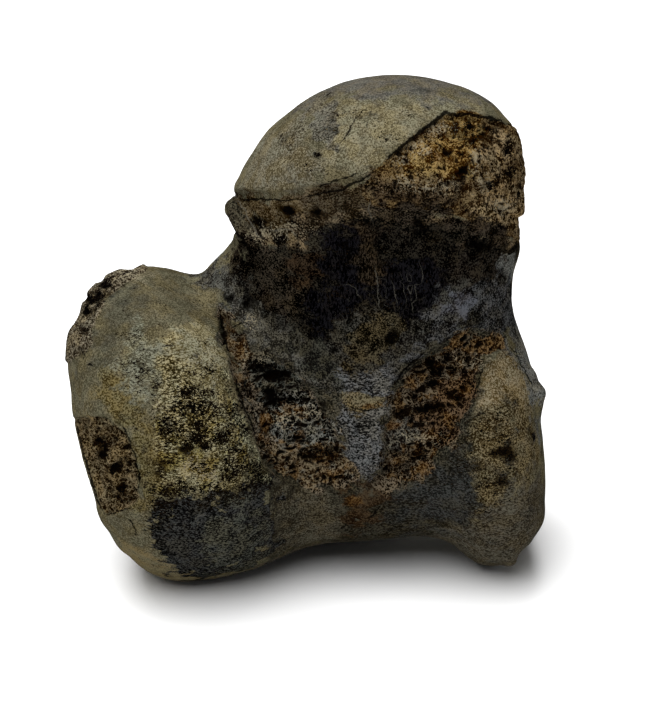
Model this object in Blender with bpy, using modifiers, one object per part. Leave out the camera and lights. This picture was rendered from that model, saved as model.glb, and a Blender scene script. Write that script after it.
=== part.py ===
"""Fossil ankle bone (left astragalus) of a giant armadillo, standing on the lobes of its pulley joint.

Lengths below are millimetres. The bone stands on z = 0 with its front to -Y, its outer lobe to -X and
its head up. The form is a blended distance field that an even mesh is settled on. The worn patches are
then let into that surface.
"""

import bmesh
import bpy
import numpy as np
from mathutils import Euler, Matrix, Vector

MM = 0.001
FINAL_TRIANGLES = 9400
COARSE_VOXEL = 1.6
FINE_VOXEL = 0.55
SEED = 7

# The outlines of the worn patches are drawn on a plane that leans back by this angle: x, and up the plane.
LEAN = np.radians(22.0)

LEFT_PATCH = (
    (-11.1, 33.9), (-10.2, 30.0), (-9.4, 25.0), (-8.9, 21.6), (-7.3, 18.5), (-6.0, 15.6), (-5.5, 13.1),
    (-2.7, 12.0), (0.5, 10.7), (4.9, 10.4), (6.4, 12.2), (5.6, 15.5), (2.4, 20.8), (-2.7, 25.6),
    (-5.6, 28.1), (-7.4, 30.9), (-9.1, 32.9),
)
RIGHT_PATCH = (
    (24.5, 29.6), (16.7, 30.0), (14.9, 28.8), (12.4, 26.2), (11.1, 22.5), (9.9, 18.7), (8.3, 14.9),
    (7.4, 12.0), (9.1, 10.2), (15.6, 11.7), (18.3, 14.9), (20.5, 19.3), (21.9, 23.7), (23.9, 27.5),
)
HEAD_BREAK = (
    (7.5, 48.7), (9.1, 50.1), (10.5, 51.8), (12.6, 53.5), (15.6, 55.8), (17.2, 57.3), (22.3, 57.6),
    (26.5, 56.0), (29.5, 54.5), (29.5, 42.3), (24.2, 42.9), (20.3, 42.4), (16.5, 43.1), (12.7, 44.5),
    (9.7, 45.9), (7.5, 47.3),
)
UNDER_CAP = (
    (-8.7, 47.0), (-2.5, 46.7), (-0.2, 47.4), (2.5, 47.7), (5.4, 48.3), (7.5, 48.7), (12.0, 49.0),
    (28.0, 45.0), (28.0, 40.0), (0.0, 39.0), (-5.0, 40.0),
)
FLARE = ((-14.6, 37.3), (-11.1, 33.9), (-9.1, 32.9), (-6.0, 36.0), (-10.0, 41.0))
SIDE_PIT = (
    (-28.9, 19.6), (-24.4, 19.7), (-22.4, 17.9), (-21.2, 15.1), (-20.4, 10.8), (-22.3, 8.4),
    (-25.5, 7.0), (-27.2, 11.1), (-28.8, 16.6),
)
CORNER_CHIP = (
    (-20.5, 38.0), (-24.0, 35.8), (-25.4, 34.3), (-26.5, 31.0), (-26.8, 28.9), (-28.1, 27.1),
    (-33.0, 26.2), (-33.0, 33.0), (-28.0, 41.0), (-22.0, 41.0),
)


def clear_scene():
    for found in list(bpy.data.objects):
        bpy.data.objects.remove(found)


# ---------------------------------------------------------------- bodies of the distance field

def form(points, centre, radii, turn=(0, 0, 0), edge=2.0, along="z"):
    """Signed distance to a rounded body. edge 2 is an ellipsoid, and more squares its rim along one axis."""
    to_body = np.array(Euler(np.radians(turn)).to_matrix())
    local = (points - np.array(centre)) @ to_body / np.array(radii)
    axis = "xyz".index(along)
    across = np.sqrt(sum(local[:, i] ** 2 for i in range(3) if i != axis) + 1e-12)
    size = (across ** edge + np.abs(local[:, axis]) ** edge + 1e-12) ** (1 / edge)
    rise = across ** (edge - 1) / size ** (edge - 1) / across
    gradient = local * rise[:, None]
    end = np.abs(local[:, axis]) ** (edge - 1) / size ** (edge - 1)
    gradient[:, axis] = np.sign(local[:, axis]) * end
    gradient = gradient / np.array(radii)
    return (size - 1) / (np.linalg.norm(gradient, axis=1) + 1e-9)


def plane(points, through, outward):
    outward = np.array(outward, float)
    return (points - np.array(through)) @ (outward / np.linalg.norm(outward))


def bar(points, start, end, thick_start, thick_end):
    """Signed distance to a round bar between two points, with a radius for each end."""
    start = np.array(start)
    axis = np.array(end) - start
    along = np.clip((points - start) @ axis / (axis @ axis), 0, 1)
    apart = np.linalg.norm(points - start - along[:, None] * axis, axis=1)
    return apart - (thick_start + along * (thick_end - thick_start))


def blend(a, b, width):
    """Both bodies together, with a fillet about width wide where they meet."""
    share = np.clip(0.5 + 0.5 * (b - a) / width, 0, 1)
    return b + (a - b) * share - width * share * (1 - share)


def trim(a, b, width):
    """What is in both bodies."""
    return -blend(-a, -b, width)


def carve(a, b, width):
    """Body a without body b."""
    return -blend(-a, b, width)


# ---------------------------------------------------------------- masses of the bone

def head_mass(p):
    """Domed head, flattened on its two sides, with its lower front edge above the neck."""
    ball = form(p, (11.1, 2.5, 43.7), (20.3, 16.5, 21.85), edge=2.15)
    sides = form(p, (9.4, 3.5, 47.0), (17.9, 17.5, 30.0), (0, -2, 0), edge=7)
    head = trim(ball, sides, 1.5)
    head = trim(head, plane(p, (9.0, -12.0, 55.0), (-0.12, -0.9, -1)), 5.0)
    return trim(head, plane(p, (9.0, 15.0, 41.0), (0, 0.1, -1)), 4.0)


def neck_mass(p):
    """Broad neck, hollowed across its front, with the spur and its ridge on the outer side."""
    neck = form(p, (8.8, 3.0, 33.0), (17.6, 12.0, 26.0), (0, -0.8, 0), edge=5)
    return carve(neck, form(p, (8.6, -24.0, 47.0), (32.0, 16.0, 11.5)), 5.0)


def spur_mass(p):
    tip = form(p, (-9.0, 1.4, 48.95), (1.4, 2.8, 1.0), (0, 15, 0))
    ridge = bar(p, (-9.2, -0.2, 49.7), (-6.0, -3.4, 44.8), 0.95, 0.6)
    return blend(tip, ridge, 0.8)


def outer_lobe(p):
    """Large lobe of the pulley, leaning out at the top, with its upper outer corner broken away."""
    lobe = form(p, (-16.6, -0.8, 20.8), (12.3, 18.2, 20.8), (0, -13.5, 0), edge=2.85, along="x")
    lobe = trim(lobe, plane(p, (-28.0, 0, 37.4), (-0.80, 0, 0.60)), 1.0)
    return trim(lobe, plane(p, (-16.4, 0, 38.7), (0.55, 0, 0.83)), 3.0)


def inner_lobe(p):
    """Smaller lobe, with its lower outer corner broken away."""
    lobe = form(p, (23.8, 3.7, 15.35), (6.4, 16.2, 15.7), (0, -7, 0), edge=2.9, along="x")
    lobe = trim(lobe, plane(p, (28.6, 0, 5.8), (0.81, 0, -0.585)), 0.6)
    boss = form(p, (29.1, -1.5, 25.0), (1.0, 1.8, 2.0))
    return blend(trim(lobe, plane(p, (29.6, 0, 25.6), (0.80, 0, 0.60)), 3.0), boss, 1.5)


def pulley_mass(p):
    groove = form(p, (3.0, 3.0, 17.5), (25.0, 14.0, 14.3), (0, -6.5, 0), edge=5, along="x")
    return blend(blend(outer_lobe(p), groove, 7.0), inner_lobe(p), 6.0)


def back_mass(p):
    body = form(p, (-3.0, 9.0, 19.0), (21.0, 12.5, 17.0), edge=2.5)
    heel = form(p, (2.0, 12.5, 9.1), (12.0, 9.0, 9.5))
    return blend(body, heel, 4.0)


def sulcus_form(p):
    """Rough channel that runs slantwise up the back, between the two facets."""
    return form(p, (4.5, 23.0, 24.0), (5.2, 7.0, 20.0), (0, -20, 0))


def bone_field(p):
    flank = form(p, (-5.2, 5.0, 32.0), (7.0, 7.5, 11.0), (0, -30, 0))
    column = blend(blend(head_mass(p), neck_mass(p), 2.5), flank, 3.0)
    column = blend(column, spur_mass(p), 1.0)
    bone = blend(blend(pulley_mass(p), back_mass(p), 4.0), column, 4.0)
    sustentacular = form(p, (14.5, 13.3, 27.5), (8.0, 3.8, 9.0), (0, 15, 0), edge=3.5, along="y")
    bone = blend(bone, sustentacular, 1.2)
    ectal = form(p, (-11.0, 28.0, 19.5), (14.0, 11.0, 16.5), (0, -10, 0))
    bone = carve(bone, ectal, 0.8)
    bone = carve(bone, sulcus_form(p), 3.0)
    inner_dish = form(p, (66.0, 7.0, 16.0), (36.6, 27.0, 25.0))
    outer_dish = form(p, (-69.0, 6.0, 20.0), (40.5, 36.0, 36.0))
    return carve(carve(bone, inner_dish, 1.5), outer_dish, 1.5)


# ---------------------------------------------------------------- even mesh on the field

def read_points(mesh, name="co"):
    flat = np.empty(len(mesh.vertices) * 3)
    mesh.vertices.foreach_get(name, flat)
    return flat.reshape(-1, 3)


def write_points(mesh, points):
    mesh.vertices.foreach_set("co", points.ravel())
    mesh.update()


def settle(points, rounds):
    """Moves the points along the field's slope until they lie on its surface."""
    step = 0.05
    for _ in range(rounds):
        slope = [bone_field(points + axis) - bone_field(points - axis) for axis in np.eye(3) * step]
        slope = np.stack(slope, axis=1) / (2 * step)
        move = np.clip(bone_field(points), -1.5, 1.5) / (np.sum(slope ** 2, axis=1) + 1e-6)
        points = points - move[:, None] * slope
    return points


def rough_mass():
    """A loose union of balls, only to start the surface from."""
    starts = (
        ((9, 3, 46), (18, 16, 18)), ((9, 3, 30), (17, 11, 20)), ((-18, 0, 20), (11, 18, 19)),
        ((24, 4, 16), (6, 14, 14)), ((3, 5, 16), (22, 11, 12)), ((-2, 10, 19), (18, 9, 15)),
        ((-5, 5, 32), (6, 7, 9)), ((14, 12, 27), (6, 4, 7)), ((-9, 1, 48), (2, 3, 2)),
    )
    pieces = []
    for centre, radii in starts:
        bpy.ops.mesh.primitive_uv_sphere_add(segments=48, ring_count=32, radius=1)
        piece = bpy.context.object
        piece.data.transform(Matrix.LocRotScale(Vector(centre), None, Vector(radii)))
        pieces.append(piece)
    for piece in pieces:
        piece.select_set(True)
    bpy.context.view_layer.objects.active = pieces[0]
    bpy.ops.object.join()
    return bpy.context.object


def bake(bone, kind, **settings):
    """Applies one modifier to the bone's mesh."""
    modifier = bone.modifiers.new(kind.title(), kind)
    for name, value in settings.items():
        setattr(modifier, name, value)
    graph = bpy.context.evaluated_depsgraph_get()
    made = bpy.data.meshes.new_from_object(bone.evaluated_get(graph))
    bone.modifiers.clear()
    bone.data = made


# ---------------------------------------------------------------- worn patches, let into the surface

def drawn(points):
    """Where each point lies on the leaning plane that the outlines are drawn on."""
    return np.stack([points[:, 0], points[:, 2] * np.cos(LEAN) + points[:, 1] * np.sin(LEAN)], axis=1)


def beyond(outline, spots):
    """Distance from an outline, negative inside it."""
    corners = np.array(outline, float)
    nearest = np.full(len(spots), 1e9)
    inside = np.zeros(len(spots), bool)
    for a, b in zip(corners, np.roll(corners, -1, axis=0)):
        along = np.clip((spots - a) @ (b - a) / ((b - a) @ (b - a)), 0, 1)
        gap = spots - a - along[:, None] * (b - a)
        nearest = np.minimum(nearest, np.hypot(gap[:, 0], gap[:, 1]))
        straddles = (a[1] > spots[:, 1]) != (b[1] > spots[:, 1])
        crossing = a[0] + (spots[:, 1] - a[1]) * (b[0] - a[0]) / (b[1] - a[1] + 1e-12)
        inside ^= straddles & (spots[:, 0] < crossing)
    return np.where(inside, -nearest, nearest)


def smooth(value):
    value = np.clip(value, 0, 1)
    return value * value * (3 - 2 * value)


def patch(outline, spots, front, soft):
    """1 inside an outline on the front of the bone, falling to 0 over a soft edge inside it."""
    return smooth(-beyond(outline, spots) / soft) * front


def dents(spots, share, chance, count, radius, depth):
    """Depth of many small round pits, scattered where the share is above a half."""
    ground = spots[share > 0.5]
    total = np.zeros(len(spots))
    if not len(ground):
        return total
    for _ in range(count):
        centre = ground[chance.integers(len(ground))]
        reach = radius * chance.uniform(0.7, 1.3)
        apart = np.sum((spots - centre) ** 2, axis=1) / reach ** 2
        total = np.maximum(total, depth * chance.uniform(0.5, 1.0) * np.exp(-apart))
    return total * share


def ripple(points, chance, length, count=24):
    """Soft random swells about one length across, from -1 to 1."""
    total = np.zeros(len(points))
    for _ in range(count):
        wave = chance.normal(size=3)
        wave *= 2 * np.pi / length / np.linalg.norm(wave) * chance.uniform(0.6, 1.3)
        total += np.sin(points @ wave + chance.uniform(0, 2 * np.pi))
    return total / np.sqrt(count)


def wear(bone):
    """Lets the broken and spongy patches into the bone and swells its surface a little."""
    chance = np.random.default_rng(SEED)
    points = read_points(bone.data)
    normals = read_points(bone.data, "normal")
    spots = drawn(points)
    front = smooth((normals[:, 2] * np.sin(LEAN) - normals[:, 1] * np.cos(LEAN) + 0.05) / 0.2)
    left = patch(LEFT_PATCH, spots, front, 0.8)
    right = patch(RIGHT_PATCH, spots, front, 1.2)
    broken = patch(HEAD_BREAK, spots, front, 0.8)
    pit = patch(SIDE_PIT, spots, front, 1.2)
    chip = patch(CORNER_CHIP, spots, front, 1.0)
    flare = patch(FLARE, spots, front, 2.5)
    under = patch(UNDER_CAP, spots, front, 0.8) * smooth((spots[:, 1] - 41) / 5)
    from_ledge = spots[:, 0] + 11.1 - 0.27 * (33.9 - spots[:, 1])
    depth = left * (1.9 - 1.4 * smooth(from_ledge / 10)) + right * (1.3 - 0.06 * (spots[:, 0] - 8))
    depth += np.maximum(broken * 1.0, under * 0.8) + pit * 0.9 + chip * 0.5 + flare * 0.4
    depth += dents(spots, left, chance, 70, 1.3, 0.9)
    depth += dents(spots, right, chance, 60, 1.3, 0.9)
    depth += dents(spots, broken, chance, 60, 1.4, 0.9)
    depth += dents(spots, pit, chance, 12, 1.1, 0.6)
    depth += dents(spots, chip, chance, 16, 1.1, 0.6)
    depth += dents(points, smooth(1.6 - np.abs(sulcus_form(points))), chance, 60, 1.4, 0.8)
    depth -= 0.12 * ripple(points, chance, 7.0)
    depth -= 0.2 * ripple(points, chance, 3.0) * np.maximum(np.maximum(left, right), broken)
    write_points(bone.data, points - normals * depth[:, None])


# ---------------------------------------------------------------- finished bone

def rest_flats(bone):
    """Cuts the bone level at z = 0, which leaves a small flat under each lobe and the heel."""
    sheet = bmesh.new()
    sheet.from_mesh(bone.data)
    everything = sheet.verts[:] + sheet.edges[:] + sheet.faces[:]
    cut = bmesh.ops.bisect_plane(
        sheet, geom=everything, dist=1e-4, plane_co=(0, 0, 0), plane_no=(0, 0, 1), clear_inner=True
    )
    rim = [item for item in cut["geom_cut"] if isinstance(item, bmesh.types.BMEdge)]
    bmesh.ops.holes_fill(sheet, edges=rim, sides=0)
    bmesh.ops.triangulate(sheet, faces=sheet.faces[:])
    sheet.to_mesh(bone.data)
    sheet.free()


def middle(bone):
    points = read_points(bone.data)
    centre = (points.min(axis=0) + points.max(axis=0)) / 2
    return Vector((centre[0], centre[1], 0))


def bone_material():
    material = bpy.data.materials.new("fossil_bone")
    material.use_nodes = True
    shader = material.node_tree.nodes["Principled BSDF"]
    shader.inputs["Base Color"].default_value = (0.19, 0.15, 0.09, 1)
    shader.inputs["Roughness"].default_value = 0.6
    return material


def sculpted_bone():
    bone = rough_mass()
    bake(bone, "REMESH", mode="VOXEL", voxel_size=COARSE_VOXEL)
    write_points(bone.data, settle(read_points(bone.data), 6))
    bake(bone, "REMESH", mode="VOXEL", voxel_size=FINE_VOXEL)
    write_points(bone.data, settle(read_points(bone.data), 4))
    wear(bone)
    triangles = 2 * len(bone.data.vertices)
    bake(bone, "DECIMATE", ratio=FINAL_TRIANGLES / triangles, use_collapse_triangulate=True)
    rest_flats(bone)
    return bone


def build():
    clear_scene()
    bone = sculpted_bone()
    bone.data.transform(Matrix.Translation(-middle(bone)))
    bone.data.transform(Matrix.Scale(MM, 4))
    bone.name = "ankle_bone"
    bone.data.materials.append(bone_material())
    bone.data.polygons.foreach_set("use_smooth", [True] * len(bone.data.polygons))
    fossil = bpy.data.collections.new("fossil_ankle_bone")
    bpy.context.scene.collection.children.link(fossil)
    for holder in list(bone.users_collection):
        holder.objects.unlink(bone)
    fossil.objects.link(bone)


build()
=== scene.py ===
"""Looks of the fossil ankle bone: its fine surface, spongy breaks and colours, and the light it stands in."""

import math

import bpy
import numpy as np
from mathutils import Euler, Matrix, Vector, kdtree

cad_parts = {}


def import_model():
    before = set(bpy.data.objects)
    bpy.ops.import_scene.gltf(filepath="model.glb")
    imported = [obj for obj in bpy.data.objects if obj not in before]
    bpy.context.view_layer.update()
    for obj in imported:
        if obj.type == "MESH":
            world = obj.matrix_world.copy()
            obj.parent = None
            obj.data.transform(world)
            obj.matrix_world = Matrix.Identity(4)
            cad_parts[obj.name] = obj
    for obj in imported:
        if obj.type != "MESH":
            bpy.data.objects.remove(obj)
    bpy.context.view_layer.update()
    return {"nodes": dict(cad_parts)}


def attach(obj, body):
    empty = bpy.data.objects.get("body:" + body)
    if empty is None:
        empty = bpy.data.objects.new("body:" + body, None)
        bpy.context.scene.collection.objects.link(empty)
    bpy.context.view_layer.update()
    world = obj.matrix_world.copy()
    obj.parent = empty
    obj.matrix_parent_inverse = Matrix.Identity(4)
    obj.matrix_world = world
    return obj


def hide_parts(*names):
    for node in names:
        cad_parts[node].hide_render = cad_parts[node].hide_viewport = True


MM = 0.001
PHOTO_WIDTH = 665
PHOTO_HEIGHT = 702

# The view, in millimetres of the bone's own modelling frame. ORIGIN is the CAD frame's origin in it.
ORIGIN = np.array((0.401, 1.377, 0.0))
TARGET = np.array((3.3, 0.0, 30.2))
DISTANCE = 360.0
ELEVATION = math.radians(22.0)
LENS = 144.0
SENSOR = 36.0
FOCAL_PIXELS = LENS / SENSOR * PHOTO_HEIGHT
MM_A_PIXEL = DISTANCE / FOCAL_PIXELS

# The fine mesh: the size of its voxels in millimetres, its most triangles, and how strongly rough places
# are kept from being thinned out, from 0 to 1.
VOXEL = 0.24
MOST_TRIANGLES = 196000
ROUGH_KEPT = 0.85

# The light: a faint white surround, and a long soft panel overhead, in metres and watts.
FILL_LIGHT = 0.14
BOX_WIDTH = 0.75
BOX_LENGTH = 1.8
BOX_PLACE = (-0.2, -0.34, 0.85)
BOX_POWER = 25.5

# Outlines on the photograph, in its pixels: first the worn patches, which are let into the surface.
LEFT_PATCH = (
    (219, 308), (221, 320), (225, 340), (230, 356), (234, 374), (237, 390), (243, 406), (251, 426),
    (257, 442), (263, 456), (269, 470), (285, 477), (301, 484), (320, 489), (345, 489), (357, 476),
    (350, 462), (343, 450), (341, 436), (333, 422), (325, 409), (316, 396), (302, 380), (288, 369),
    (270, 357), (254, 352), (247, 344), (243, 335), (234, 326), (226, 314),
)
RIGHT_PATCH = (
    (471, 329), (486, 331), (503, 338), (503, 347), (491, 357), (482, 366), (480, 380), (475, 394),
    (466, 410), (457, 430), (447, 446), (434, 458), (427, 469), (419, 480), (405, 487), (386, 491),
    (372, 486), (381, 470), (384, 452), (383, 436), (387, 424), (390, 414), (391, 402), (396, 388),
    (404, 378), (415, 368), (427, 359), (441, 348), (455, 336),
)
HEAD_BREAK = (
    (367, 180), (375, 173), (383, 165), (393, 153), (407, 142), (422, 130), (435, 121), (446, 112),
    (470, 113), (486, 116), (500, 120), (517, 128), (545, 140), (545, 240), (512, 240), (496, 232),
    (478, 226), (462, 219), (440, 214), (400, 211), (372, 206), (360, 196),
)
UNDER_CAP = (
    (240, 197), (285, 198), (304, 192), (326, 189), (350, 184), (370, 180), (400, 190), (545, 225),
    (545, 300), (285, 300), (264, 240),
)
SIDE_PIT = (
    (74, 418), (108, 418), (124, 433), (134, 456), (139, 481), (143, 498), (127, 508), (106, 516),
    (92, 485), (79, 442),
)
CORNER_CHIP = (
    (145, 272), (126, 283), (116, 289), (104, 301), (99, 311), (94, 327), (91, 344), (81, 358), (50, 365),
    (50, 250), (145, 250),
)

# Then the stretches that each have a colour of their own, some with painted sheen or painted shade in it, as
# noted.
STRETCHES = {
    "cap_left": (
        (236, 190), (246, 150), (276, 124), (306, 110), (318, 142), (326, 172), (300, 196), (262, 196),
    ),
    # Painted shade darkening the outer shoulder of the left lobe.
    "lobe_shade": (
        (92, 344), (96, 316), (108, 298), (136, 284), (150, 296), (134, 330), (118, 352), (88, 372),
    ),
    "lobe_cream": (
        (180, 336), (206, 324), (222, 334), (229, 366), (234, 398), (206, 396), (186, 380), (176, 356),
    ),
    "under": (
        (236, 198), (285, 198), (304, 192), (326, 189), (350, 184), (372, 179), (392, 188), (440, 208),
        (480, 222), (530, 236), (530, 262), (420, 262), (300, 262), (262, 250), (248, 240),
    ),
    "middle": (
        (214, 296), (240, 330), (400, 330), (520, 326), (500, 348), (482, 376), (476, 416), (468, 440),
        (458, 476), (440, 560), (262, 580), (268, 540), (262, 470), (246, 420), (232, 388), (222, 340),
    ),
    "spur": (
        (222, 200), (236, 194), (243, 208), (252, 228), (262, 244), (264, 258), (250, 254), (238, 240),
        (228, 226),
    ),
    "bowl": (
        (232, 262), (262, 236), (400, 206), (530, 236), (530, 328), (496, 334), (460, 334), (436, 350),
        (404, 380), (388, 400), (346, 404), (316, 392), (296, 378), (276, 360), (250, 344), (226, 306),
        (206, 284),
    ),
    "cap_pale": (
        (326, 118), (352, 98), (400, 96), (470, 98), (506, 114), (470, 114), (445, 112), (432, 122),
        (408, 140), (380, 168), (352, 176), (326, 172), (318, 142),
    ),
    "cap_grey": (
        (306, 106), (322, 98), (338, 100), (332, 128), (328, 146), (316, 150), (304, 144), (306, 126),
    ),
    # A grey-brown band along the top of the cap, partly its own tone and partly painted shade where the dome
    # is seen side-on.
    "cap_band": (
        (296, 110), (330, 60), (470, 60), (520, 118), (500, 106), (470, 96), (430, 94), (390, 94),
        (350, 96), (326, 102), (310, 112),
    ),
    "under_ochre": (
        (240, 199), (262, 199), (296, 199), (306, 208), (296, 222), (304, 238), (292, 250), (272, 238),
        (258, 228), (248, 214),
    ),
    "under_cream": (
        (256, 222), (268, 228), (296, 224), (302, 234), (298, 246), (290, 238), (272, 238), (262, 234),
    ),
    "under_rust": (
        (296, 197), (345, 188), (370, 181), (388, 190), (420, 204), (446, 212), (420, 214), (380, 212),
        (345, 216), (318, 224), (302, 230), (296, 214),
    ),
    "neck_dark": (
        (250, 236), (264, 244), (280, 236), (300, 238), (318, 225), (345, 216), (372, 212), (400, 209),
        (430, 212), (452, 216), (478, 224), (497, 234), (530, 240), (530, 262), (508, 268), (498, 284),
        (470, 282), (448, 280), (440, 296), (428, 316), (405, 328), (392, 316), (372, 312), (352, 326),
        (336, 342), (312, 346), (298, 336), (284, 320), (262, 306), (246, 292), (232, 270), (236, 250),
    ),
    "neck_umber": (
        (236, 240), (250, 232), (264, 242), (290, 248), (302, 266), (304, 292), (298, 314), (290, 326),
        (272, 320), (256, 304), (243, 290), (230, 270),
    ),
    "neck_olive": ((292, 236), (320, 224), (334, 240), (318, 262), (304, 270), (296, 254)),
    "neck_vein": ((362, 226), (376, 232), (381, 262), (375, 292), (363, 286), (358, 256)),
    "neck_flush": ((284, 252), (312, 247), (334, 261), (322, 277), (296, 280)),
    "neck_rust": ((440, 264), (470, 256), (506, 250), (506, 286), (496, 298), (474, 294), (450, 288)),
    "neck_blue": (
        (318, 238), (345, 226), (368, 232), (380, 250), (384, 268), (420, 262), (442, 272), (442, 300),
        (424, 320), (404, 322), (392, 305), (378, 300), (360, 312), (336, 334), (312, 338), (302, 316),
        (322, 296), (330, 268),
    ),
    # Painted sheen: the grey-blue satin on the neck's left flare is a reflection painted into its colour.
    "flare_left": (
        (190, 276), (208, 262), (222, 260), (232, 274), (244, 290), (256, 306), (272, 318), (286, 324),
        (300, 334), (312, 348), (328, 354), (338, 362), (346, 372), (346, 392), (330, 392), (312, 384),
        (296, 374), (276, 356), (262, 352), (250, 340), (236, 322), (222, 304), (206, 290),
    ),
    "flare_deep": (
        (286, 322), (304, 336), (330, 352), (342, 366), (344, 390), (318, 380), (298, 368), (282, 344),
    ),
    # Painted sheen: the grey satin on the neck's right flare is a reflection painted into its colour.
    "flare_right": (
        (346, 372), (370, 368), (392, 360), (410, 345), (420, 330), (432, 312), (444, 296), (458, 286),
        (478, 284), (500, 280), (530, 284), (530, 326), (496, 330), (474, 326), (458, 330), (444, 340),
        (434, 350), (420, 362), (404, 376), (392, 392), (384, 398), (346, 392),
    ),
    # Painted highlight at the right flare's brightest spot.
    "flare_bright": ((446, 302), (456, 294), (474, 294), (482, 306), (480, 320), (466, 326), (450, 322)),
    # Painted sheen: the grey of the central strip is a satin reflection painted in; its dark cracks are its
    # own.
    "strip": (
        (341, 368), (360, 374), (388, 366), (394, 392), (391, 414), (386, 426), (384, 440), (385, 454),
        (380, 470), (372, 480), (356, 480), (348, 462), (342, 450), (340, 432), (334, 420), (338, 396),
    ),
    "bowl_brown": (
        (336, 335), (350, 322), (372, 312), (392, 318), (402, 330), (398, 346), (384, 362), (366, 370),
        (350, 370), (338, 358),
    ),
    "ochre_blob": ((338, 397), (350, 389), (368, 390), (380, 398), (377, 408), (366, 412), (348, 409)),
    "left_rust": (
        (216, 306), (226, 312), (238, 328), (248, 344), (254, 354), (250, 366), (252, 384), (248, 392),
        (240, 388), (232, 374), (226, 356), (220, 330),
    ),
    "left_brown": (
        (264, 410), (276, 412), (290, 408), (312, 410), (318, 418), (300, 422), (284, 424), (264, 430),
        (258, 420),
    ),
    "left_black": (
        (246, 362), (268, 354), (290, 360), (306, 384), (326, 408), (322, 422), (300, 402), (276, 404),
        (262, 404), (246, 394),
    ),
    "left_grey": (
        (262, 398), (300, 384), (322, 400), (336, 424), (338, 440), (310, 446), (280, 444), (266, 430),
    ),
    "left_ochre": ((258, 440), (290, 448), (335, 448), (350, 466), (338, 482), (300, 484), (268, 474)),
    "right_gold": (
        (436, 344), (452, 334), (470, 332), (498, 338), (510, 350), (496, 360), (478, 362), (455, 354),
        (440, 356),
    ),
    "right_grey": ((386, 430), (400, 424), (420, 424), (424, 444), (406, 452), (384, 450)),
    "foot_of_break": (
        (360, 204), (385, 204), (412, 206), (440, 206), (462, 212), (480, 220), (498, 228), (514, 238),
        (510, 246), (480, 238), (440, 224), (400, 218), (364, 214),
    ),
    "right_rust": (
        (440, 374), (478, 366), (480, 392), (462, 424), (448, 444), (428, 440), (420, 416), (432, 396),
    ),
    "break_gold": (
        (384, 164), (410, 142), (436, 124), (450, 116), (480, 118), (484, 140), (480, 168), (462, 178),
        (432, 178), (404, 176),
    ),
    "break_grey": ((480, 150), (500, 136), (522, 140), (526, 200), (512, 214), (500, 196), (484, 186)),
    "break_dull": (
        (372, 186), (396, 180), (430, 184), (462, 182), (470, 196), (452, 206), (430, 212), (400, 210),
        (376, 202),
    ),
    "break_low": ((456, 196), (486, 184), (505, 190), (540, 196), (540, 234), (500, 234), (474, 222)),
    "lobe_pale": (
        (146, 356), (168, 334), (200, 322), (222, 330), (228, 362), (234, 394), (246, 420), (258, 450),
        (262, 474), (240, 490), (200, 494), (168, 492), (146, 500), (142, 470), (146, 430), (150, 395),
    ),
    "lobe_grey": (
        (124, 340), (140, 318), (152, 330), (158, 352), (160, 376), (160, 400), (146, 408), (134, 392),
        (120, 370),
    ),
    "lobe_yellow": (
        (98, 378), (126, 370), (140, 392), (154, 420), (156, 456), (160, 500), (136, 520), (124, 512),
        (142, 490), (136, 456), (124, 430), (100, 414),
    ),
    "lobe_gold": ((164, 452), (186, 446), (214, 452), (216, 470), (200, 482), (184, 474), (166, 472)),
    "stain": (
        (150, 512), (160, 497), (170, 504), (180, 494), (192, 502), (204, 492), (216, 500), (228, 488),
        (240, 496), (250, 480), (262, 474), (270, 480), (272, 500), (272, 522), (278, 542), (264, 554),
        (250, 566), (225, 572), (205, 577), (185, 572), (172, 560), (158, 548), (150, 530),
    ),
    "stain_worn": (
        (206, 530), (222, 520), (234, 500), (246, 502), (258, 520), (262, 546), (246, 562), (216, 566),
        (202, 552),
    ),
    "rim_tan": (
        (122, 540), (140, 550), (160, 561), (185, 571), (205, 577), (225, 573), (225, 595), (180, 595),
        (135, 585), (108, 562),
    ),
    "groove": (
        (264, 486), (290, 480), (330, 484), (365, 490), (400, 486), (426, 470), (446, 456), (462, 470),
        (480, 500), (474, 530), (450, 560), (330, 570), (262, 580), (270, 545), (274, 520),
    ),
    "groove_left": (
        (268, 490), (300, 486), (332, 492), (344, 506), (340, 540), (300, 556), (268, 572), (276, 530),
    ),
    "groove_rust": (
        (322, 481), (350, 477), (386, 484), (382, 500), (374, 516), (356, 526), (342, 516), (352, 498),
        (332, 492),
    ),
    "slate_low": (
        (414, 478), (440, 468), (470, 466), (484, 476), (480, 500), (470, 522), (440, 530), (410, 528),
        (392, 516), (398, 494),
    ),
    "lobe_brown": (
        (456, 424), (474, 410), (500, 410), (526, 410), (538, 430), (538, 470), (526, 502), (505, 524),
        (474, 530), (464, 500), (462, 476), (440, 462), (446, 440),
    ),
    "lobe_foot": (
        (440, 520), (470, 512), (500, 500), (526, 486), (540, 470), (560, 500), (540, 580), (440, 580),
        (420, 540),
    ),
    "facet": (
        (482, 362), (500, 352), (515, 360), (527, 380), (534, 406), (520, 414), (495, 416), (470, 424),
        (476, 396),
    ),
    # Painted sheen: a light grey band of grazing reflection down the right edge of the neck and the lobe
    # below.
    "edge_grey": (
        (505, 256), (530, 256), (530, 320), (540, 345), (560, 380), (560, 440), (539, 440), (536, 410),
        (528, 384), (518, 360), (509, 342), (505, 322), (505, 290),
    ),
    "ledge": (
        (224, 362), (231, 388), (240, 406), (250, 432), (258, 452), (266, 476), (256, 480), (247, 456),
        (238, 432), (228, 408), (222, 386),
    ),
}

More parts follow.
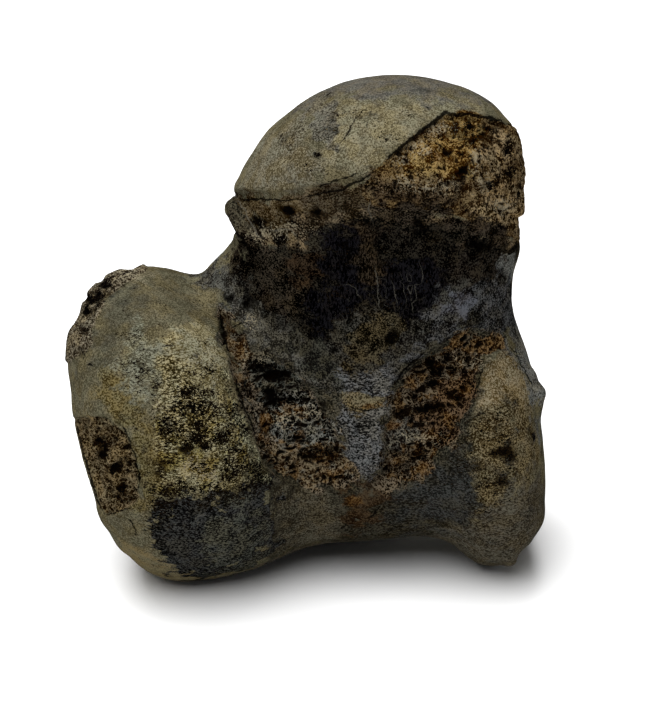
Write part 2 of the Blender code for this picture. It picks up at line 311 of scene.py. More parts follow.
# Where dark specks are scattered: how thickly, with 1 as thick, and the outline.
SPECKLED = (
    (0.30, ((262, 156), (300, 112), (350, 104), (374, 130), (352, 168), (300, 186), (266, 184))),
    (0.28, ((374, 112), (412, 104), (424, 122), (400, 142), (370, 150))),
    (0.34, ((150, 340), (200, 322), (222, 330), (226, 352), (200, 364), (152, 370))),
    (0.62, ((152, 372), (176, 362), (216, 362), (236, 384), (242, 404), (150, 404), (140, 392))),
    (1.00, (
        (158, 404), (184, 392), (240, 396), (254, 438), (236, 452), (190, 452), (158, 448), (148, 424),
    )),
    (0.72, ((140, 430), (160, 448), (220, 456), (262, 462), (250, 484), (160, 484), (144, 470))),
    (1.10, ((226, 444), (256, 440), (268, 470), (268, 492), (222, 492), (216, 470))),
    (0.50, ((116, 330), (150, 322), (156, 372), (140, 396), (112, 380))),
    (0.92, (
        (144, 480), (180, 480), (222, 478), (262, 470), (264, 496), (222, 502), (180, 506), (148, 520),
    )),
    (0.42, ((108, 404), (136, 396), (146, 430), (138, 450), (124, 432))),
    (0.45, ((132, 504), (160, 500), (164, 540), (144, 548), (128, 530))),
    (0.58, (
        (466, 412), (484, 396), (506, 404), (516, 420), (512, 520), (470, 536), (470, 480), (452, 470),
        (450, 430),
    )),
    (0.36, ((516, 410), (534, 410), (538, 500), (512, 520))),
    (0.30, (
        (266, 484), (330, 488), (400, 492), (480, 500), (520, 540), (440, 540), (300, 548), (262, 560),
    )),
    (0.30, ((478, 380), (510, 372), (528, 400), (510, 412), (474, 412))),
    (0.14, ((120, 300), (160, 280), (210, 296), (214, 330), (160, 340), (120, 340))),
)

# Thin lines on the photograph: half width in pixels, then the points that they pass.
# The dark lines are cracks, and painted shadow where noted.
CRACK_AND_SHADOW_LINES = (
    # The lip of the head's break: a dark rim, partly rust and partly painted shadow.
    (1.7, (
        (516, 127), (500, 121), (486, 117), (470, 115), (454, 115), (446, 112), (434, 122), (421, 131),
        (407, 143), (393, 154), (380, 167),
    )),
    # Painted shadow under the cap's lower edge.
    (1.0, ((380, 167), (370, 175), (352, 184), (340, 191), (320, 193), (300, 199))),
    (0.7, ((310, 188), (322, 186), (331, 182), (345, 178), (362, 173))),
    (0.9, ((236, 197), (246, 200), (262, 199), (285, 200), (304, 199))),
    (0.5, ((368, 107), (360, 114), (353, 121), (350, 130), (345, 138), (339, 145))),
    (0.4, ((368, 117), (367, 129))),
    (0.5, ((283, 133), (279, 141))),
    # Painted shade on both sides of the spur's ridge.
    (1.6, ((231, 228), (240, 236), (248, 246), (255, 258))),
    (1.0, ((256, 225), (262, 238), (270, 241))),
    # Painted shadow below the ledge beside the left patch.
    (0.8, ((219, 306), (222, 322), (225, 340), (230, 356))),
    (0.9, ((234, 374), (238, 390), (244, 406), (252, 426), (258, 442))),
    (0.6, ((230, 330), (237, 326), (243, 321))),
    (0.7, ((354, 427), (362, 426), (371, 429))),
    (0.6, ((344, 371), (354, 372))),
    (0.8, ((350, 408), (358, 410), (367, 411), (376, 409))),
    (0.4, ((350, 444), (358, 447), (366, 446))),
    (0.4, ((352, 391), (362, 388), (372, 390))),
    # Painted shadow under the upper edge of the right patch.
    (1.0, ((426, 350), (412, 363), (402, 373), (393, 386))),
    (0.6, ((484, 363), (480, 378), (476, 392), (470, 402))),
    (1.0, ((76, 418), (80, 440), (86, 462), (92, 482), (99, 504), (106, 515))),
    (0.7, ((106, 515), (118, 512), (131, 507))),
    (0.6, ((118, 420), (128, 436), (135, 454), (139, 478), (138, 494))),
    (0.6, ((128, 519), (134, 526), (137, 537))),
    (0.5, ((163, 346), (176, 345))),
    (0.8, ((86, 364), (93, 366))),
    (0.7, ((367, 521), (374, 513), (381, 505))),
    (0.6, ((340, 529), (347, 524))),
    (0.6, ((104, 280), (118, 275), (131, 272))),
    (0.5, ((507, 345), (516, 353), (521, 364), (530, 380), (535, 396))),
)
SCRATCH_AND_HIGHLIGHT_LINES = (
    # Painted highlight along the spur's ridge.
    (0.9, ((236, 197), (242, 206), (249, 219), (256, 231), (262, 241))),
    (0.5, ((266, 229), (274, 232), (282, 229), (291, 231), (298, 238))),
    (0.4, ((231, 229), (235, 235), (240, 238))),
    (0.3, ((303, 333), (301, 345), (298, 355), (295, 364))),
    (0.3, ((299, 329), (296, 338), (294, 345))),
    (0.2, ((345, 284), (353, 285), (356, 291), (360, 297))),
    (0.3, ((407, 274), (408, 286), (412, 300), (413, 312))),
    (0.2, ((415, 284), (417, 300))),
    (0.2, ((420, 262), (423, 274), (421, 281))),
    (0.3, ((375, 268), (378, 285), (378, 300), (382, 312))),
    (0.2, ((393, 283), (396, 294), (398, 306))),
    (0.2, ((336, 318), (337, 330))),
    (0.2, ((346, 316), (344, 328))),
    (0.3, ((388, 367), (393, 363), (397, 361))),
    (0.6, ((370, 199), (368, 210), (373, 222))),
    (0.7, ((404, 439), (412, 438), (420, 440))),
    (0.3, ((356, 322), (361, 322))),
    (0.6, ((194, 520), (200, 516), (206, 515))),
    (0.3, ((197, 528), (199, 521))),
    (0.7, ((197, 583), (202, 582), (208, 581))),
    (0.3, ((334, 366), (329, 378), (322, 384))),
    (0.3, ((372, 436), (366, 448))),
    (0.6, ((418, 186), (426, 189), (434, 189))),
)

# Places where the bone's outline stands out a little, or draws in where the height is negative:
# middle and reach in pixels, then height in millimetres.
SWELLS = (
    (524, 172, 16, 0.3), (82, 318, 22, -0.8), (132, 270, 14, -0.5), (226, 238, 16, 0.6),
    (238, 188, 14, 0.3), (250, 150, 36, -0.35), (492, 100, 26, 0.3), (470, 90, 24, 0.2),
    (538, 380, 12, -0.6), (543, 394, 9, 0.2), (100, 520, 32, 0.5), (114, 548, 20, 0.5),
    (541, 520, 22, 0.35), (510, 560, 12, 0.6), (526, 555, 16, -0.3), (72, 390, 24, -0.25),
)

# Raised ridges: height in millimetres, half width in pixels, then the points that they pass.
RIDGES = (
    (0.75, 5.5, ((226, 202), (234, 216), (243, 232), (252, 246), (258, 256))),
    (0.35, 3.0, ((258, 222), (270, 230), (286, 226), (296, 230), (304, 240))),
    (0.30, 3.0, ((224, 332), (232, 386), (246, 420), (262, 460))),
)

# Small spots: middle, half width and half height in pixels.
DARK_SPOTS = (
    (197, 425, 8, 7), (196, 436, 9, 6), (206, 446, 8, 5), (188, 447, 7, 4), (165, 434, 6, 4),
    (160, 470, 7, 7), (172, 492, 9, 6), (252, 470, 12, 5), (228, 476, 8, 5), (210, 372, 5, 3),
    (152, 386, 7, 6), (188, 391, 6, 4), (184, 412, 9, 4), (222, 416, 8, 5), (182, 483, 8, 5),
    (220, 440, 6, 4), (208, 408, 6, 4), (206, 394, 7, 3), (506, 453, 11, 4), (495, 433, 4, 4),
    (532, 434, 2, 3), (480, 470, 9, 4), (500, 482, 4, 3), (484, 440, 3, 3), (296, 439, 6, 4),
    (262, 365, 7, 4), (250, 390, 7, 5), (276, 376, 11, 5), (286, 400, 12, 3), (310, 452, 8, 4),
    (332, 453, 7, 4), (229, 298, 7, 5), (247, 300, 5, 5), (320, 420, 7, 6), (270, 392, 7, 6),
    (305, 456, 5, 3), (448, 357, 5, 6), (440, 374, 7, 5), (453, 372, 6, 4), (431, 384, 5, 5),
    (427, 408, 12, 6), (413, 395, 6, 5), (405, 470, 9, 5), (388, 470, 6, 4), (416, 452, 9, 5),
    (400, 413, 6, 3), (444, 432, 5, 4), (434, 446, 6, 4), (458, 396, 5, 5), (466, 372, 6, 3),
    (432, 362, 4, 4), (396, 456, 6, 3), (390, 337, 5, 7), (455, 130, 5, 6), (465, 133, 4, 5),
    (471, 128, 4, 4), (472, 140, 4, 4), (481, 138, 4, 3), (487, 128, 4, 2), (509, 170, 5, 8),
    (491, 186, 5, 5), (511, 192, 2, 8), (518, 192, 2, 7), (458, 174, 4, 4), (404, 160, 4, 3),
    (509, 152, 4, 6), (515, 168, 2, 8), (448, 154, 4, 5), (504, 210, 3, 4), (466, 168, 3, 4),
    (114, 468, 6, 5), (102, 456, 5, 5), (122, 490, 6, 8), (98, 440, 4, 4), (100, 430, 6, 3),
    (106, 446, 5, 4), (92, 300, 8, 5), (88, 312, 5, 5), (106, 284, 7, 5), (84, 330, 4, 4),
    (80, 354, 5, 4), (98, 296, 5, 4), (319, 154, 3, 2), (290, 212, 8, 5), (293, 223, 6, 5),
    (262, 224, 6, 3), (278, 240, 7, 6), (318, 212, 6, 4), (422, 226, 6, 5), (346, 248, 7, 8),
    (480, 246, 7, 5),
)
RUST_SPOTS = (
    (389, 425, 7, 4), (398, 460, 9, 6), (266, 420, 7, 5), (280, 417, 5, 3), (240, 345, 5, 8),
    (410, 386, 8, 5), (446, 418, 9, 6), (371, 407, 6, 3), (318, 458, 9, 4), (452, 345, 7, 4),
    (300, 412, 6, 3), (240, 376, 4, 6), (445, 158, 8, 6), (432, 350, 5, 4), (462, 392, 7, 6),
    (420, 470, 7, 4), (284, 466, 7, 3), (356, 500, 8, 6),
)
PALE_SPOTS = (
    (476, 160, 3, 7), (482, 182, 3, 5), (424, 150, 6, 3), (404, 182, 5, 3), (448, 186, 6, 4),
    (402, 160, 4, 3), (475, 362, 6, 2), (424, 188, 8, 1.5), (158, 408, 3, 3), (206, 474, 8, 5),
    (194, 464, 9, 5), (130, 277, 10, 4), (268, 234, 8, 3), (286, 228, 6, 2), (502, 206, 8, 6),
    (418, 438, 8, 2), (250, 322, 5, 4), (438, 128, 8, 4), (414, 147, 4, 2), (312, 412, 6, 3),
    (286, 418, 7, 3), (258, 358, 7, 3),
)


# ---------------------------------------------------------------- the bone's form, as in the CAD

def form(points, centre, radii, turn=(0, 0, 0), edge=2.0, along="z"):
    """Signed distance to a rounded body. edge 2 is an ellipsoid, and more squares its rim along one axis."""
    to_body = np.array(Euler(np.radians(turn)).to_matrix())
    local = (points - np.array(centre)) @ to_body / np.array(radii)
    axis = "xyz".index(along)
    across = np.sqrt(sum(local[:, i] ** 2 for i in range(3) if i != axis) + 1e-12)
    size = (across ** edge + np.abs(local[:, axis]) ** edge + 1e-12) ** (1 / edge)
    rise = across ** (edge - 1) / size ** (edge - 1) / across
    gradient = local * rise[:, None]
    end = np.abs(local[:, axis]) ** (edge - 1) / size ** (edge - 1)
    gradient[:, axis] = np.sign(local[:, axis]) * end
    gradient = gradient / np.array(radii)
    return (size - 1) / (np.linalg.norm(gradient, axis=1) + 1e-9)


def plane(points, through, outward):
    outward = np.array(outward, float)
    return (points - np.array(through)) @ (outward / np.linalg.norm(outward))


def bar(points, start, end, thick_start, thick_end):
    """Signed distance to a round bar between two points, with a radius for each end."""
    start = np.array(start)
    axis = np.array(end) - start
    along = np.clip((points - start) @ axis / (axis @ axis), 0, 1)
    apart = np.linalg.norm(points - start - along[:, None] * axis, axis=1)
    return apart - (thick_start + along * (thick_end - thick_start))


def blend(a, b, width):
    """Both bodies together, with a fillet about width wide where they meet."""
    share = np.clip(0.5 + 0.5 * (b - a) / width, 0, 1)
    return b + (a - b) * share - width * share * (1 - share)


def trim(a, b, width):
    """What is in both bodies."""
    return -blend(-a, -b, width)


def carve(a, b, width):
    """Body a without body b."""
    return -blend(-a, b, width)


# ---------------------------------------------------------------- masses of the bone

def head_mass(p):
    """Domed head, flattened on its two sides, with its lower front edge above the neck."""
    ball = form(p, (11.1, 2.5, 43.7), (20.3, 16.5, 21.85), edge=2.15)
    sides = form(p, (9.4, 3.5, 47.0), (17.9, 17.5, 30.0), (0, -2, 0), edge=7)
    head = trim(ball, sides, 1.5)
    head = trim(head, plane(p, (9.0, -12.0, 55.0), (-0.12, -0.9, -1)), 5.0)
    return trim(head, plane(p, (9.0, 15.0, 41.0), (0, 0.1, -1)), 4.0)


def neck_mass(p):
    """Broad neck, hollowed across its front. The spur and its ridge on the outer side are made by spur_mass.
    """
    neck = form(p, (8.8, 3.0, 33.0), (17.6, 12.0, 26.0), (0, -0.8, 0), edge=5)
    return carve(neck, form(p, (8.6, -24.0, 47.0), (32.0, 16.0, 11.5)), 5.0)


def spur_mass(p):
    tip = form(p, (-9.0, 1.4, 48.95), (1.4, 2.8, 1.0), (0, 15, 0))
    ridge = bar(p, (-9.2, -0.2, 49.7), (-6.0, -3.4, 44.8), 0.95, 0.6)
    return blend(tip, ridge, 0.8)


def outer_lobe(p):
    """Large lobe of the pulley, leaning out at the top, with its upper outer corner broken away."""
    lobe = form(p, (-16.6, -0.8, 20.8), (12.3, 18.2, 20.8), (0, -13.5, 0), edge=2.85, along="x")
    lobe = trim(lobe, plane(p, (-28.0, 0, 37.4), (-0.80, 0, 0.60)), 1.0)
    return trim(lobe, plane(p, (-16.4, 0, 38.7), (0.55, 0, 0.83)), 3.0)


def inner_lobe(p):
    """Smaller lobe, with its lower outer corner broken away."""
    lobe = form(p, (23.8, 3.7, 15.35), (6.4, 16.2, 15.7), (0, -7, 0), edge=2.9, along="x")
    lobe = trim(lobe, plane(p, (28.6, 0, 5.8), (0.81, 0, -0.585)), 0.6)
    boss = form(p, (29.1, -1.5, 25.0), (1.0, 1.8, 2.0))
    return blend(trim(lobe, plane(p, (29.6, 0, 25.6), (0.80, 0, 0.60)), 3.0), boss, 1.5)


def pulley_mass(p):
    groove = form(p, (3.0, 3.0, 17.5), (25.0, 14.0, 14.3), (0, -6.5, 0), edge=5, along="x")
    return blend(blend(outer_lobe(p), groove, 7.0), inner_lobe(p), 6.0)


def back_mass(p):
    body = form(p, (-3.0, 9.0, 19.0), (21.0, 12.5, 17.0), edge=2.5)
    heel = form(p, (2.0, 12.5, 9.1), (12.0, 9.0, 9.5))
    return blend(body, heel, 4.0)


def sulcus_form(p):
    """Rough channel that runs slantwise up the back, between the two facets."""
    return form(p, (4.5, 23.0, 24.0), (5.2, 7.0, 20.0), (0, -20, 0))


def bone_field(p):
    flank = form(p, (-5.2, 5.0, 32.0), (7.0, 7.5, 11.0), (0, -30, 0))
    column = blend(blend(head_mass(p), neck_mass(p), 2.5), flank, 3.0)
    column = blend(column, spur_mass(p), 1.0)
    bone = blend(blend(pulley_mass(p), back_mass(p), 4.0), column, 4.0)
    sustentacular = form(p, (14.5, 13.3, 27.5), (8.0, 3.8, 9.0), (0, 15, 0), edge=3.5, along="y")
    bone = blend(bone, sustentacular, 1.2)
    ectal = form(p, (-11.0, 28.0, 19.5), (14.0, 11.0, 16.5), (0, -10, 0))
    bone = carve(bone, ectal, 0.8)
    bone = carve(bone, sulcus_form(p), 3.0)
    inner_dish = form(p, (66.0, 7.0, 16.0), (36.6, 27.0, 25.0))
    outer_dish = form(p, (-69.0, 6.0, 20.0), (40.5, 36.0, 36.0))
    return carve(carve(bone, inner_dish, 1.5), outer_dish, 1.5)


# ---------------------------------------------------------------- smooth steps and seeded noise

def smooth(value):
    """Rises from 0 to 1 as the value does, and levels off at both ends."""
    value = np.clip(value, 0, 1)
    return value * value * (3 - 2 * value)


def fade(value, start, width):
    """0 up to the start, rising to 1 over the width."""
    return smooth((value - start) / width)


# Large odd numbers that scramble a cell's place into random-looking ones, and the 32 bits that are kept.
HASH_AXES = (73856093, 19349663, 83492791)
HASH_SALT = 2654435761
HASH_FIRST = 0x2C1B3C6D
HASH_SECOND = 0x297A2D39
HASH_MASK = 0xFFFFFFFF


def lattice(cells, salt):
    """Three numbers from 0 to 1 for each whole-numbered cell, always the same for the same salt."""
    mixed = cells.astype(np.int64) @ np.array(HASH_AXES) + salt * HASH_SALT
    numbers = []
    for _ in range(3):
        mixed = (mixed ^ (mixed >> 15)) * HASH_FIRST & HASH_MASK
        mixed = (mixed ^ (mixed >> 12)) * HASH_SECOND & HASH_MASK
        mixed = mixed ^ (mixed >> 15)
        numbers.append(mixed / HASH_MASK)
    return np.stack(numbers, axis=1)


def noise(points, size, salt, octaves=1):
    """Smooth noise from -1 to 1 whose swells are about size across, with finer ones added by octaves."""
    total = np.zeros(len(points))
    strength = 1.0
    whole = 0.0
    for octave in range(octaves):
        scaled = points / size * 2 ** octave
        base = np.floor(scaled)
        inside = smooth(scaled - base)
        value = np.zeros(len(points))
        for corner in np.ndindex(2, 2, 2):
            weight = np.prod(np.where(corner, inside, 1 - inside), axis=1)
            value += weight * lattice(base + corner, salt + octave)[:, 0]
        total += strength * (2 * value - 1)
        whole += strength
        strength *= 0.5
    return total / whole


def cells(points, size, salt):
    """Distances to the nearest two scattered seeds, in sizes, and the nearest one's number."""
    scaled = points / size
    base = np.floor(scaled)
    first = np.full(len(points), 9.0)
    second = np.full(len(points), 9.0)
    number = np.zeros(len(points))
    for offset in np.ndindex(3, 3, 3):
        cell = base + offset - 1
        random = lattice(cell, salt)
        apart = np.linalg.norm(cell + random - scaled, axis=1)
        closer = apart < first
        second = np.where(closer, first, np.minimum(second, apart))
        number = np.where(closer, random[:, 0] * 7.31 % 1.0, number)
        first = np.where(closer, apart, first)
    return first, second, number


# ---------------------------------------------------------------- outlines seen on the photograph

def view_axes():
    back = np.array((0.0, -math.cos(ELEVATION), math.sin(ELEVATION)))
    up = np.array((0.0, math.sin(ELEVATION), math.cos(ELEVATION)))
    return back, up


def on_photo(points):
    """The photograph's pixel that each point falls on."""
    back, up = view_axes()
    seen = points - (TARGET + back * DISTANCE)
    depth = -(seen @ back)
    across = PHOTO_WIDTH / 2 + FOCAL_PIXELS * seen[:, 0] / depth
    down = PHOTO_HEIGHT / 2 - FOCAL_PIXELS * (seen @ up) / depth
    return np.stack((across, down), axis=1)


def beyond(outline, spots):
    """Distance from an outline, negative inside it."""
    corners = np.array(outline, float)
    nearest = np.full(len(spots), 1e9)
    inside = np.zeros(len(spots), bool)
    for a, b in zip(corners, np.roll(corners, -1, axis=0)):
        along = np.clip((spots - a) @ (b - a) / ((b - a) @ (b - a)), 0, 1)
        gap = spots - a - along[:, None] * (b - a)
        nearest = np.minimum(nearest, np.hypot(gap[:, 0], gap[:, 1]))
        straddles = (a[1] > spots[:, 1]) != (b[1] > spots[:, 1])
        crossing = a[0] + (spots[:, 1] - a[1]) * (b[0] - a[0]) / (b[1] - a[1] + 1e-12)
        inside ^= straddles & (spots[:, 0] < crossing)
    return np.where(inside, -nearest, nearest)


# How far outlines fray and wander, and the furthest that a point counts as in or out, in millimetres.
RAGGED = 0.45
WANDER = 1.3
FAR = 3.0

# Where the surface turns from the view, an outline or spot ends: how steeply, and how far past side-on.
TURN_DEPTH = 10
OUTLINE_TURN = 0.2
SPOT_TURN = 0.25

# A line narrows over a fifth of its length to a fine tip, and is left out beyond its reach in millimetres.
LINE_TAPER = 5
LINE_TIP = 0.05
LINE_REACH = 1.6
LINE_GONE = 0.3


class Surface:
    """Points of the bone's surface, with where the photograph shows them and how they face it."""

    def __init__(self, points, normals):
        self.points = points
        self.pixels = on_photo(points)
        back, _ = view_axes()
        self.facing = normals @ back
        self.front = fade(self.facing, -0.3, 0.2)
        self.ragged = RAGGED * noise(points, size=1.6, salt=11, octaves=3)
        self.wander = WANDER * noise(points, size=4.0, salt=14, octaves=4)

    def inside(self, outline, ragged=0.0, wander=0.0):
        """How many millimetres inside an outline each point lies, with the edge wandering a little."""
        depth = -beyond(outline, self.pixels) * MM_A_PIXEL - ragged * self.ragged - wander * self.wander
        return np.minimum(depth, TURN_DEPTH * (self.facing + OUTLINE_TURN) + self.wander + self.ragged)

    def patch(self, outline, soft, ragged=1.0, reach=0.0):
        """1 inside an outline, falling to 0 over soft millimetres about its edge, which wanders a little."""
        return smooth(0.5 + (reach + self.inside(outline, ragged)) / soft)

    def spots(self, places):
        """How many millimetres inside the nearest of these spots each point lies."""
        depth = np.full(len(self.pixels), -FAR)
        for across, down, half_width, half_height in places:
            away = (self.pixels - (across, down)) / (half_width, half_height)
            inside = (1 - np.linalg.norm(away, axis=1)) * min(half_width, half_height) * MM_A_PIXEL
            depth = np.maximum(depth, inside)
        return np.minimum(depth, TURN_DEPTH * (self.facing + SPOT_TURN))

    def swells(self, places):
        """Height in millimetres that these low swells add to the surface."""
        height = np.zeros(len(self.pixels))
        for across, down, reach, tall in places:
            away = np.linalg.norm(self.pixels - (across, down), axis=1) / reach
            height += tall * smooth(1 - away)
        return height * fade(self.facing, -0.6, 0.2)

    def ridges(self, table):
        """Height in millimetres that these ridges add to the surface."""
        height = np.zeros(len(self.pixels))
        for tall, half_width, stops in table:
            side, width = self.lines(((half_width, stops),))
            height = np.maximum(height, tall * smooth((width - np.abs(side)) / (half_width * MM_A_PIXEL)))
        return height

    def lines(self, table):
        """How far to one side of the nearest of these lines each point lies, and its width, in mm."""
        nearest = np.full(len(self.pixels), 1e9)
        side = np.full(len(self.pixels), FAR)
        width = np.zeros(len(self.pixels))
        for half_width, stops in table:
            stops = np.array(stops, float)
            lengths = np.linalg.norm(np.diff(stops, axis=0), axis=1)
            for number, (a, b) in enumerate(zip(stops, stops[1:])):
                step = (b - a) / lengths[number]
                gap = self.pixels - a
                along = np.clip(gap @ step, 0, lengths[number])
                done = (lengths[:number].sum() + along) / lengths.sum()
                gap = gap - along[:, None] * step
                apart = np.hypot(gap[:, 0], gap[:, 1])
                closer = apart < nearest
                nearest = np.where(closer, apart, nearest)
                turned = np.where(step[0] * gap[:, 1] > step[1] * gap[:, 0], 1.0, -1.0)
                side = np.where(closer, turned * apart * MM_A_PIXEL, side)
                slim = half_width * MM_A_PIXEL * smooth(np.minimum(done, 1 - done) * LINE_TAPER + LINE_TIP)
                width = np.where(closer, slim, width)
        near = smooth((LINE_REACH - nearest * MM_A_PIXEL) / 0.6) * fade(self.facing, -0.2, 0.1)
        return side, width * near + LINE_GONE * (near - 1)


# ---------------------------------------------------------------- fine mesh of the bone

def read_points(mesh):
    flat = np.empty(len(mesh.vertices) * 3)
    mesh.vertices.foreach_get("co", flat)
    return flat.reshape(-1, 3)


def write_points(mesh, points):
    mesh.vertices.foreach_set("co", np.ravel(points))
    mesh.update()


def bake(piece, kind, **settings):
    """Applies one modifier to the piece's mesh."""
    modifier = piece.modifiers.new(kind.title(), kind)
    for name, value in settings.items():
        setattr(modifier, name, value)
    graph = bpy.context.evaluated_depsgraph_get()
    made = bpy.data.meshes.new_from_object(piece.evaluated_get(graph))
    piece.modifiers.clear()
    piece.data = made


def settle(points, rounds):
    """Moves the points along the field's slope until they lie on its surface, and gives their normals."""
    step = 0.04
    furthest = 1.5
    for _ in range(rounds):
        distance = bone_field(points)
        slope = np.stack([bone_field(points + axis) - distance for axis in np.eye(3) * step], axis=1) / step
        move = np.clip(distance, -furthest, furthest) / (np.sum(slope ** 2, axis=1) + 1e-6)
        points = points - move[:, None] * slope
    return points, slope / (np.linalg.norm(slope, axis=1)[:, None] + 1e-9)


def fine_copy(node):
    """A finely meshed copy of the CAD bone, in millimetres of the modelling frame."""
    piece = bpy.data.objects.new("ankle_bone_surface", node.data.copy())
    bpy.context.scene.collection.objects.link(piece)
    piece.data.transform(Matrix.Translation(Vector(ORIGIN)) @ Matrix.Scale(1 / MM, 4))
    bake(piece, "REMESH", mode="VOXEL", voxel_size=VOXEL)
    return piece


# ---------------------------------------------------------------- relief

# Height of the low waves and of the fine grit all over the surface, in millimetres.
WAVE_HEIGHT = 0.12
GRIT_HEIGHT = 0.04

# How deep each worn place is let in, in millimetres, and how far the two patches rise again to the right.
LEFT_DEPTH = 1.7
LEFT_RISE = 1.3
RIGHT_DEPTH = 1.1
RIGHT_RISE = 0.5
HEAD_DEPTH = 0.9
UNDER_DEPTH = 0.8
PIT_DEPTH = 0.9
SPOT_DEPTH = 0.5
CRACK_DEPTH = 0.22

# How high the spongy walls and the unevenness stand in each worn place, in millimetres.
PATCH_SPONGE = 1.1
PATCH_UNEVEN = 1.3
HEAD_SPONGE = 0.7
HEAD_UNEVEN = 1.2
UNDER_UNEVEN = 0.9
CHIP_SPONGE = 0.9
CHANNEL_SPONGE = 0.5
CHANNEL_UNEVEN = 0.4

# Places on the photograph, in its pixels: the top and the slant of the ledge beside the left patch, where
# the right patch rises, where the head's break ends, and where the hollow under the cap does.
LEDGE_ACROSS = 218
LEDGE_DOWN = 304
LEDGE_SLANT = 0.27
RIGHT_RISES = 400
RIGHT_FADE = 90
HEAD_ENDS = 514
HEAD_FADE = 18
UNDER_ENDS = 262
UNDER_FADE = 50


def warp(points, size, amount, salt):
    """The points pushed about by noise, so that a pattern read there wanders."""
    push = [noise(points, size, salt + axis) for axis in range(3)]
    return points + amount * np.stack(push, axis=1)


def hollows(points, size, salt, wall, slope, closed, opening):
    """Hollows between cell walls, 0 on a wall to 1 in an open cell. Cells numbered below closed stay shut."""
    first, second, number = cells(points, size, salt)
    return fade(second - first, wall, slope) * fade(number, closed, opening)


def sponge(points, size, stretch, salt):
    """How deep spongy bone lies between its thin walls, 0 on a wall to 1 in the deepest pit."""
    at = warp(points, 1.2 * size, 0.5 * size, salt) * np.array(stretch)
    pits = hollows(at, size, salt + 5, wall=0.06, slope=0.3, closed=0.2, opening=0.6)
    holes = hollows(at, 0.55 * size, salt + 9, wall=0.08, slope=0.35, closed=0.3, opening=0.7)
    return 0.65 * pits + 0.35 * holes


def channel_depth(surface):
    """How many millimetres inside the rough channel at the back each point lies."""
    reach = 0.7 - np.abs(sulcus_form(surface.points)) + 1.6 * surface.ragged + 0.8 * surface.wander
    return np.minimum(reach, 3 - 6 * surface.front)


def relief(surface):
    """Height above the smooth surface in millimetres, how hollow it is there, and where it is rough."""
    across, down = surface.pixels.T
    points = surface.points
    from_ledge = (across - LEDGE_ACROSS - LEDGE_SLANT * (down - LEDGE_DOWN)) * MM_A_PIXEL
    left = surface.patch(LEFT_PATCH, soft=0.5 + 1.8 * fade(from_ledge, 0, 4), ragged=1.5)
    right = surface.patch(RIGHT_PATCH, soft=1.6, ragged=1.5)
    head = surface.patch(HEAD_BREAK, soft=0.3)
    pit = surface.patch(SIDE_PIT, soft=0.5) * fade(surface.facing, -0.05, 0.1)
    chip = surface.patch(CORNER_CHIP, soft=0.5)
    under = surface.patch(UNDER_CAP, soft=0.5, reach=0.6) * smooth((UNDER_ENDS - down) / UNDER_FADE)
    channel = fade(channel_depth(surface), -0.4, 0.8)
    wide = 0.5 + 0.5 * noise(points, size=2.4, salt=21, octaves=3)
    coarse = sponge(points, size=0.95, stretch=(0.8, 1.0, 1.25), salt=31)
    fine = sponge(points, size=0.7, stretch=(1.2, 1.0, 0.8), salt=61)
    height = WAVE_HEIGHT * noise(points, size=7.0, salt=3, octaves=2)
    height = height + GRIT_HEIGHT * noise(points, size=1.2, salt=5, octaves=2)
    let_in_left = left * (LEFT_DEPTH - LEFT_RISE * fade(from_ledge, 0, 9))
    let_in_right = right * (RIGHT_DEPTH - RIGHT_RISE * fade(across, RIGHT_RISES, RIGHT_FADE))
    height -= let_in_left + let_in_right
    sunk = head * HEAD_DEPTH * smooth((HEAD_ENDS - across) / HEAD_FADE)
    height -= np.maximum(sunk, under * UNDER_DEPTH) + pit * PIT_DEPTH
    uneven = wide - 0.5
    height -= (left + right + pit) * (PATCH_SPONGE * coarse + PATCH_UNEVEN * uneven)
    roughened = head * (HEAD_SPONGE * (fine - 0.3) + HEAD_UNEVEN * uneven)
    height -= roughened + under * (1 - head) * UNDER_UNEVEN * uneven
    height -= chip * CHIP_SPONGE * (fine - 0.4) + channel * (CHANNEL_SPONGE * coarse + CHANNEL_UNEVEN * wide)
    height -= SPOT_DEPTH * smooth(0.5 + surface.spots(DARK_SPOTS) / 0.5) * (left + right + head + pit + chip)
    height += surface.ridges(RIDGES) + surface.swells(SWELLS)
    side, width = surface.lines(CRACK_AND_SHADOW_LINES)
    height -= CRACK_DEPTH * smooth(0.5 + (width - np.abs(side)) / 0.3) * surface.front
    hollow = np.clip((left + right + pit + channel) * coarse + (head + chip) * fine, 0, 1)
    rough = np.clip(left + right + head + pit + chip + channel + 0.6 * under, 0, 1)
    return height, hollow, rough


def stretch_depths(surface):
    """How many millimetres inside each stretch each point lies. A patch's own stretches end at its edge."""
    found = {name: surface.inside(outline, ragged=0.5, wander=1.0) for name, outline in STRETCHES.items()}
    found["ochre_blob"] = surface.inside(STRETCHES["ochre_blob"], ragged=0.3)
    patches = {"left": LEFT_PATCH, "right": RIGHT_PATCH, "break": HEAD_BREAK}
    for name, outline in patches.items():
        found[name] = surface.inside(outline, ragged=1.0)
    for name in STRETCHES:
        bound = name.split("_")[0]
        if bound in patches:
            found[name] = np.minimum(found[name], 4 * found[bound])
    found["pit"] = np.minimum(surface.inside(SIDE_PIT, ragged=1.0), TURN_DEPTH * surface.facing)
    found["chip"] = surface.inside(CORNER_CHIP, ragged=1.0)
    found["channel"] = channel_depth(surface)
    return found


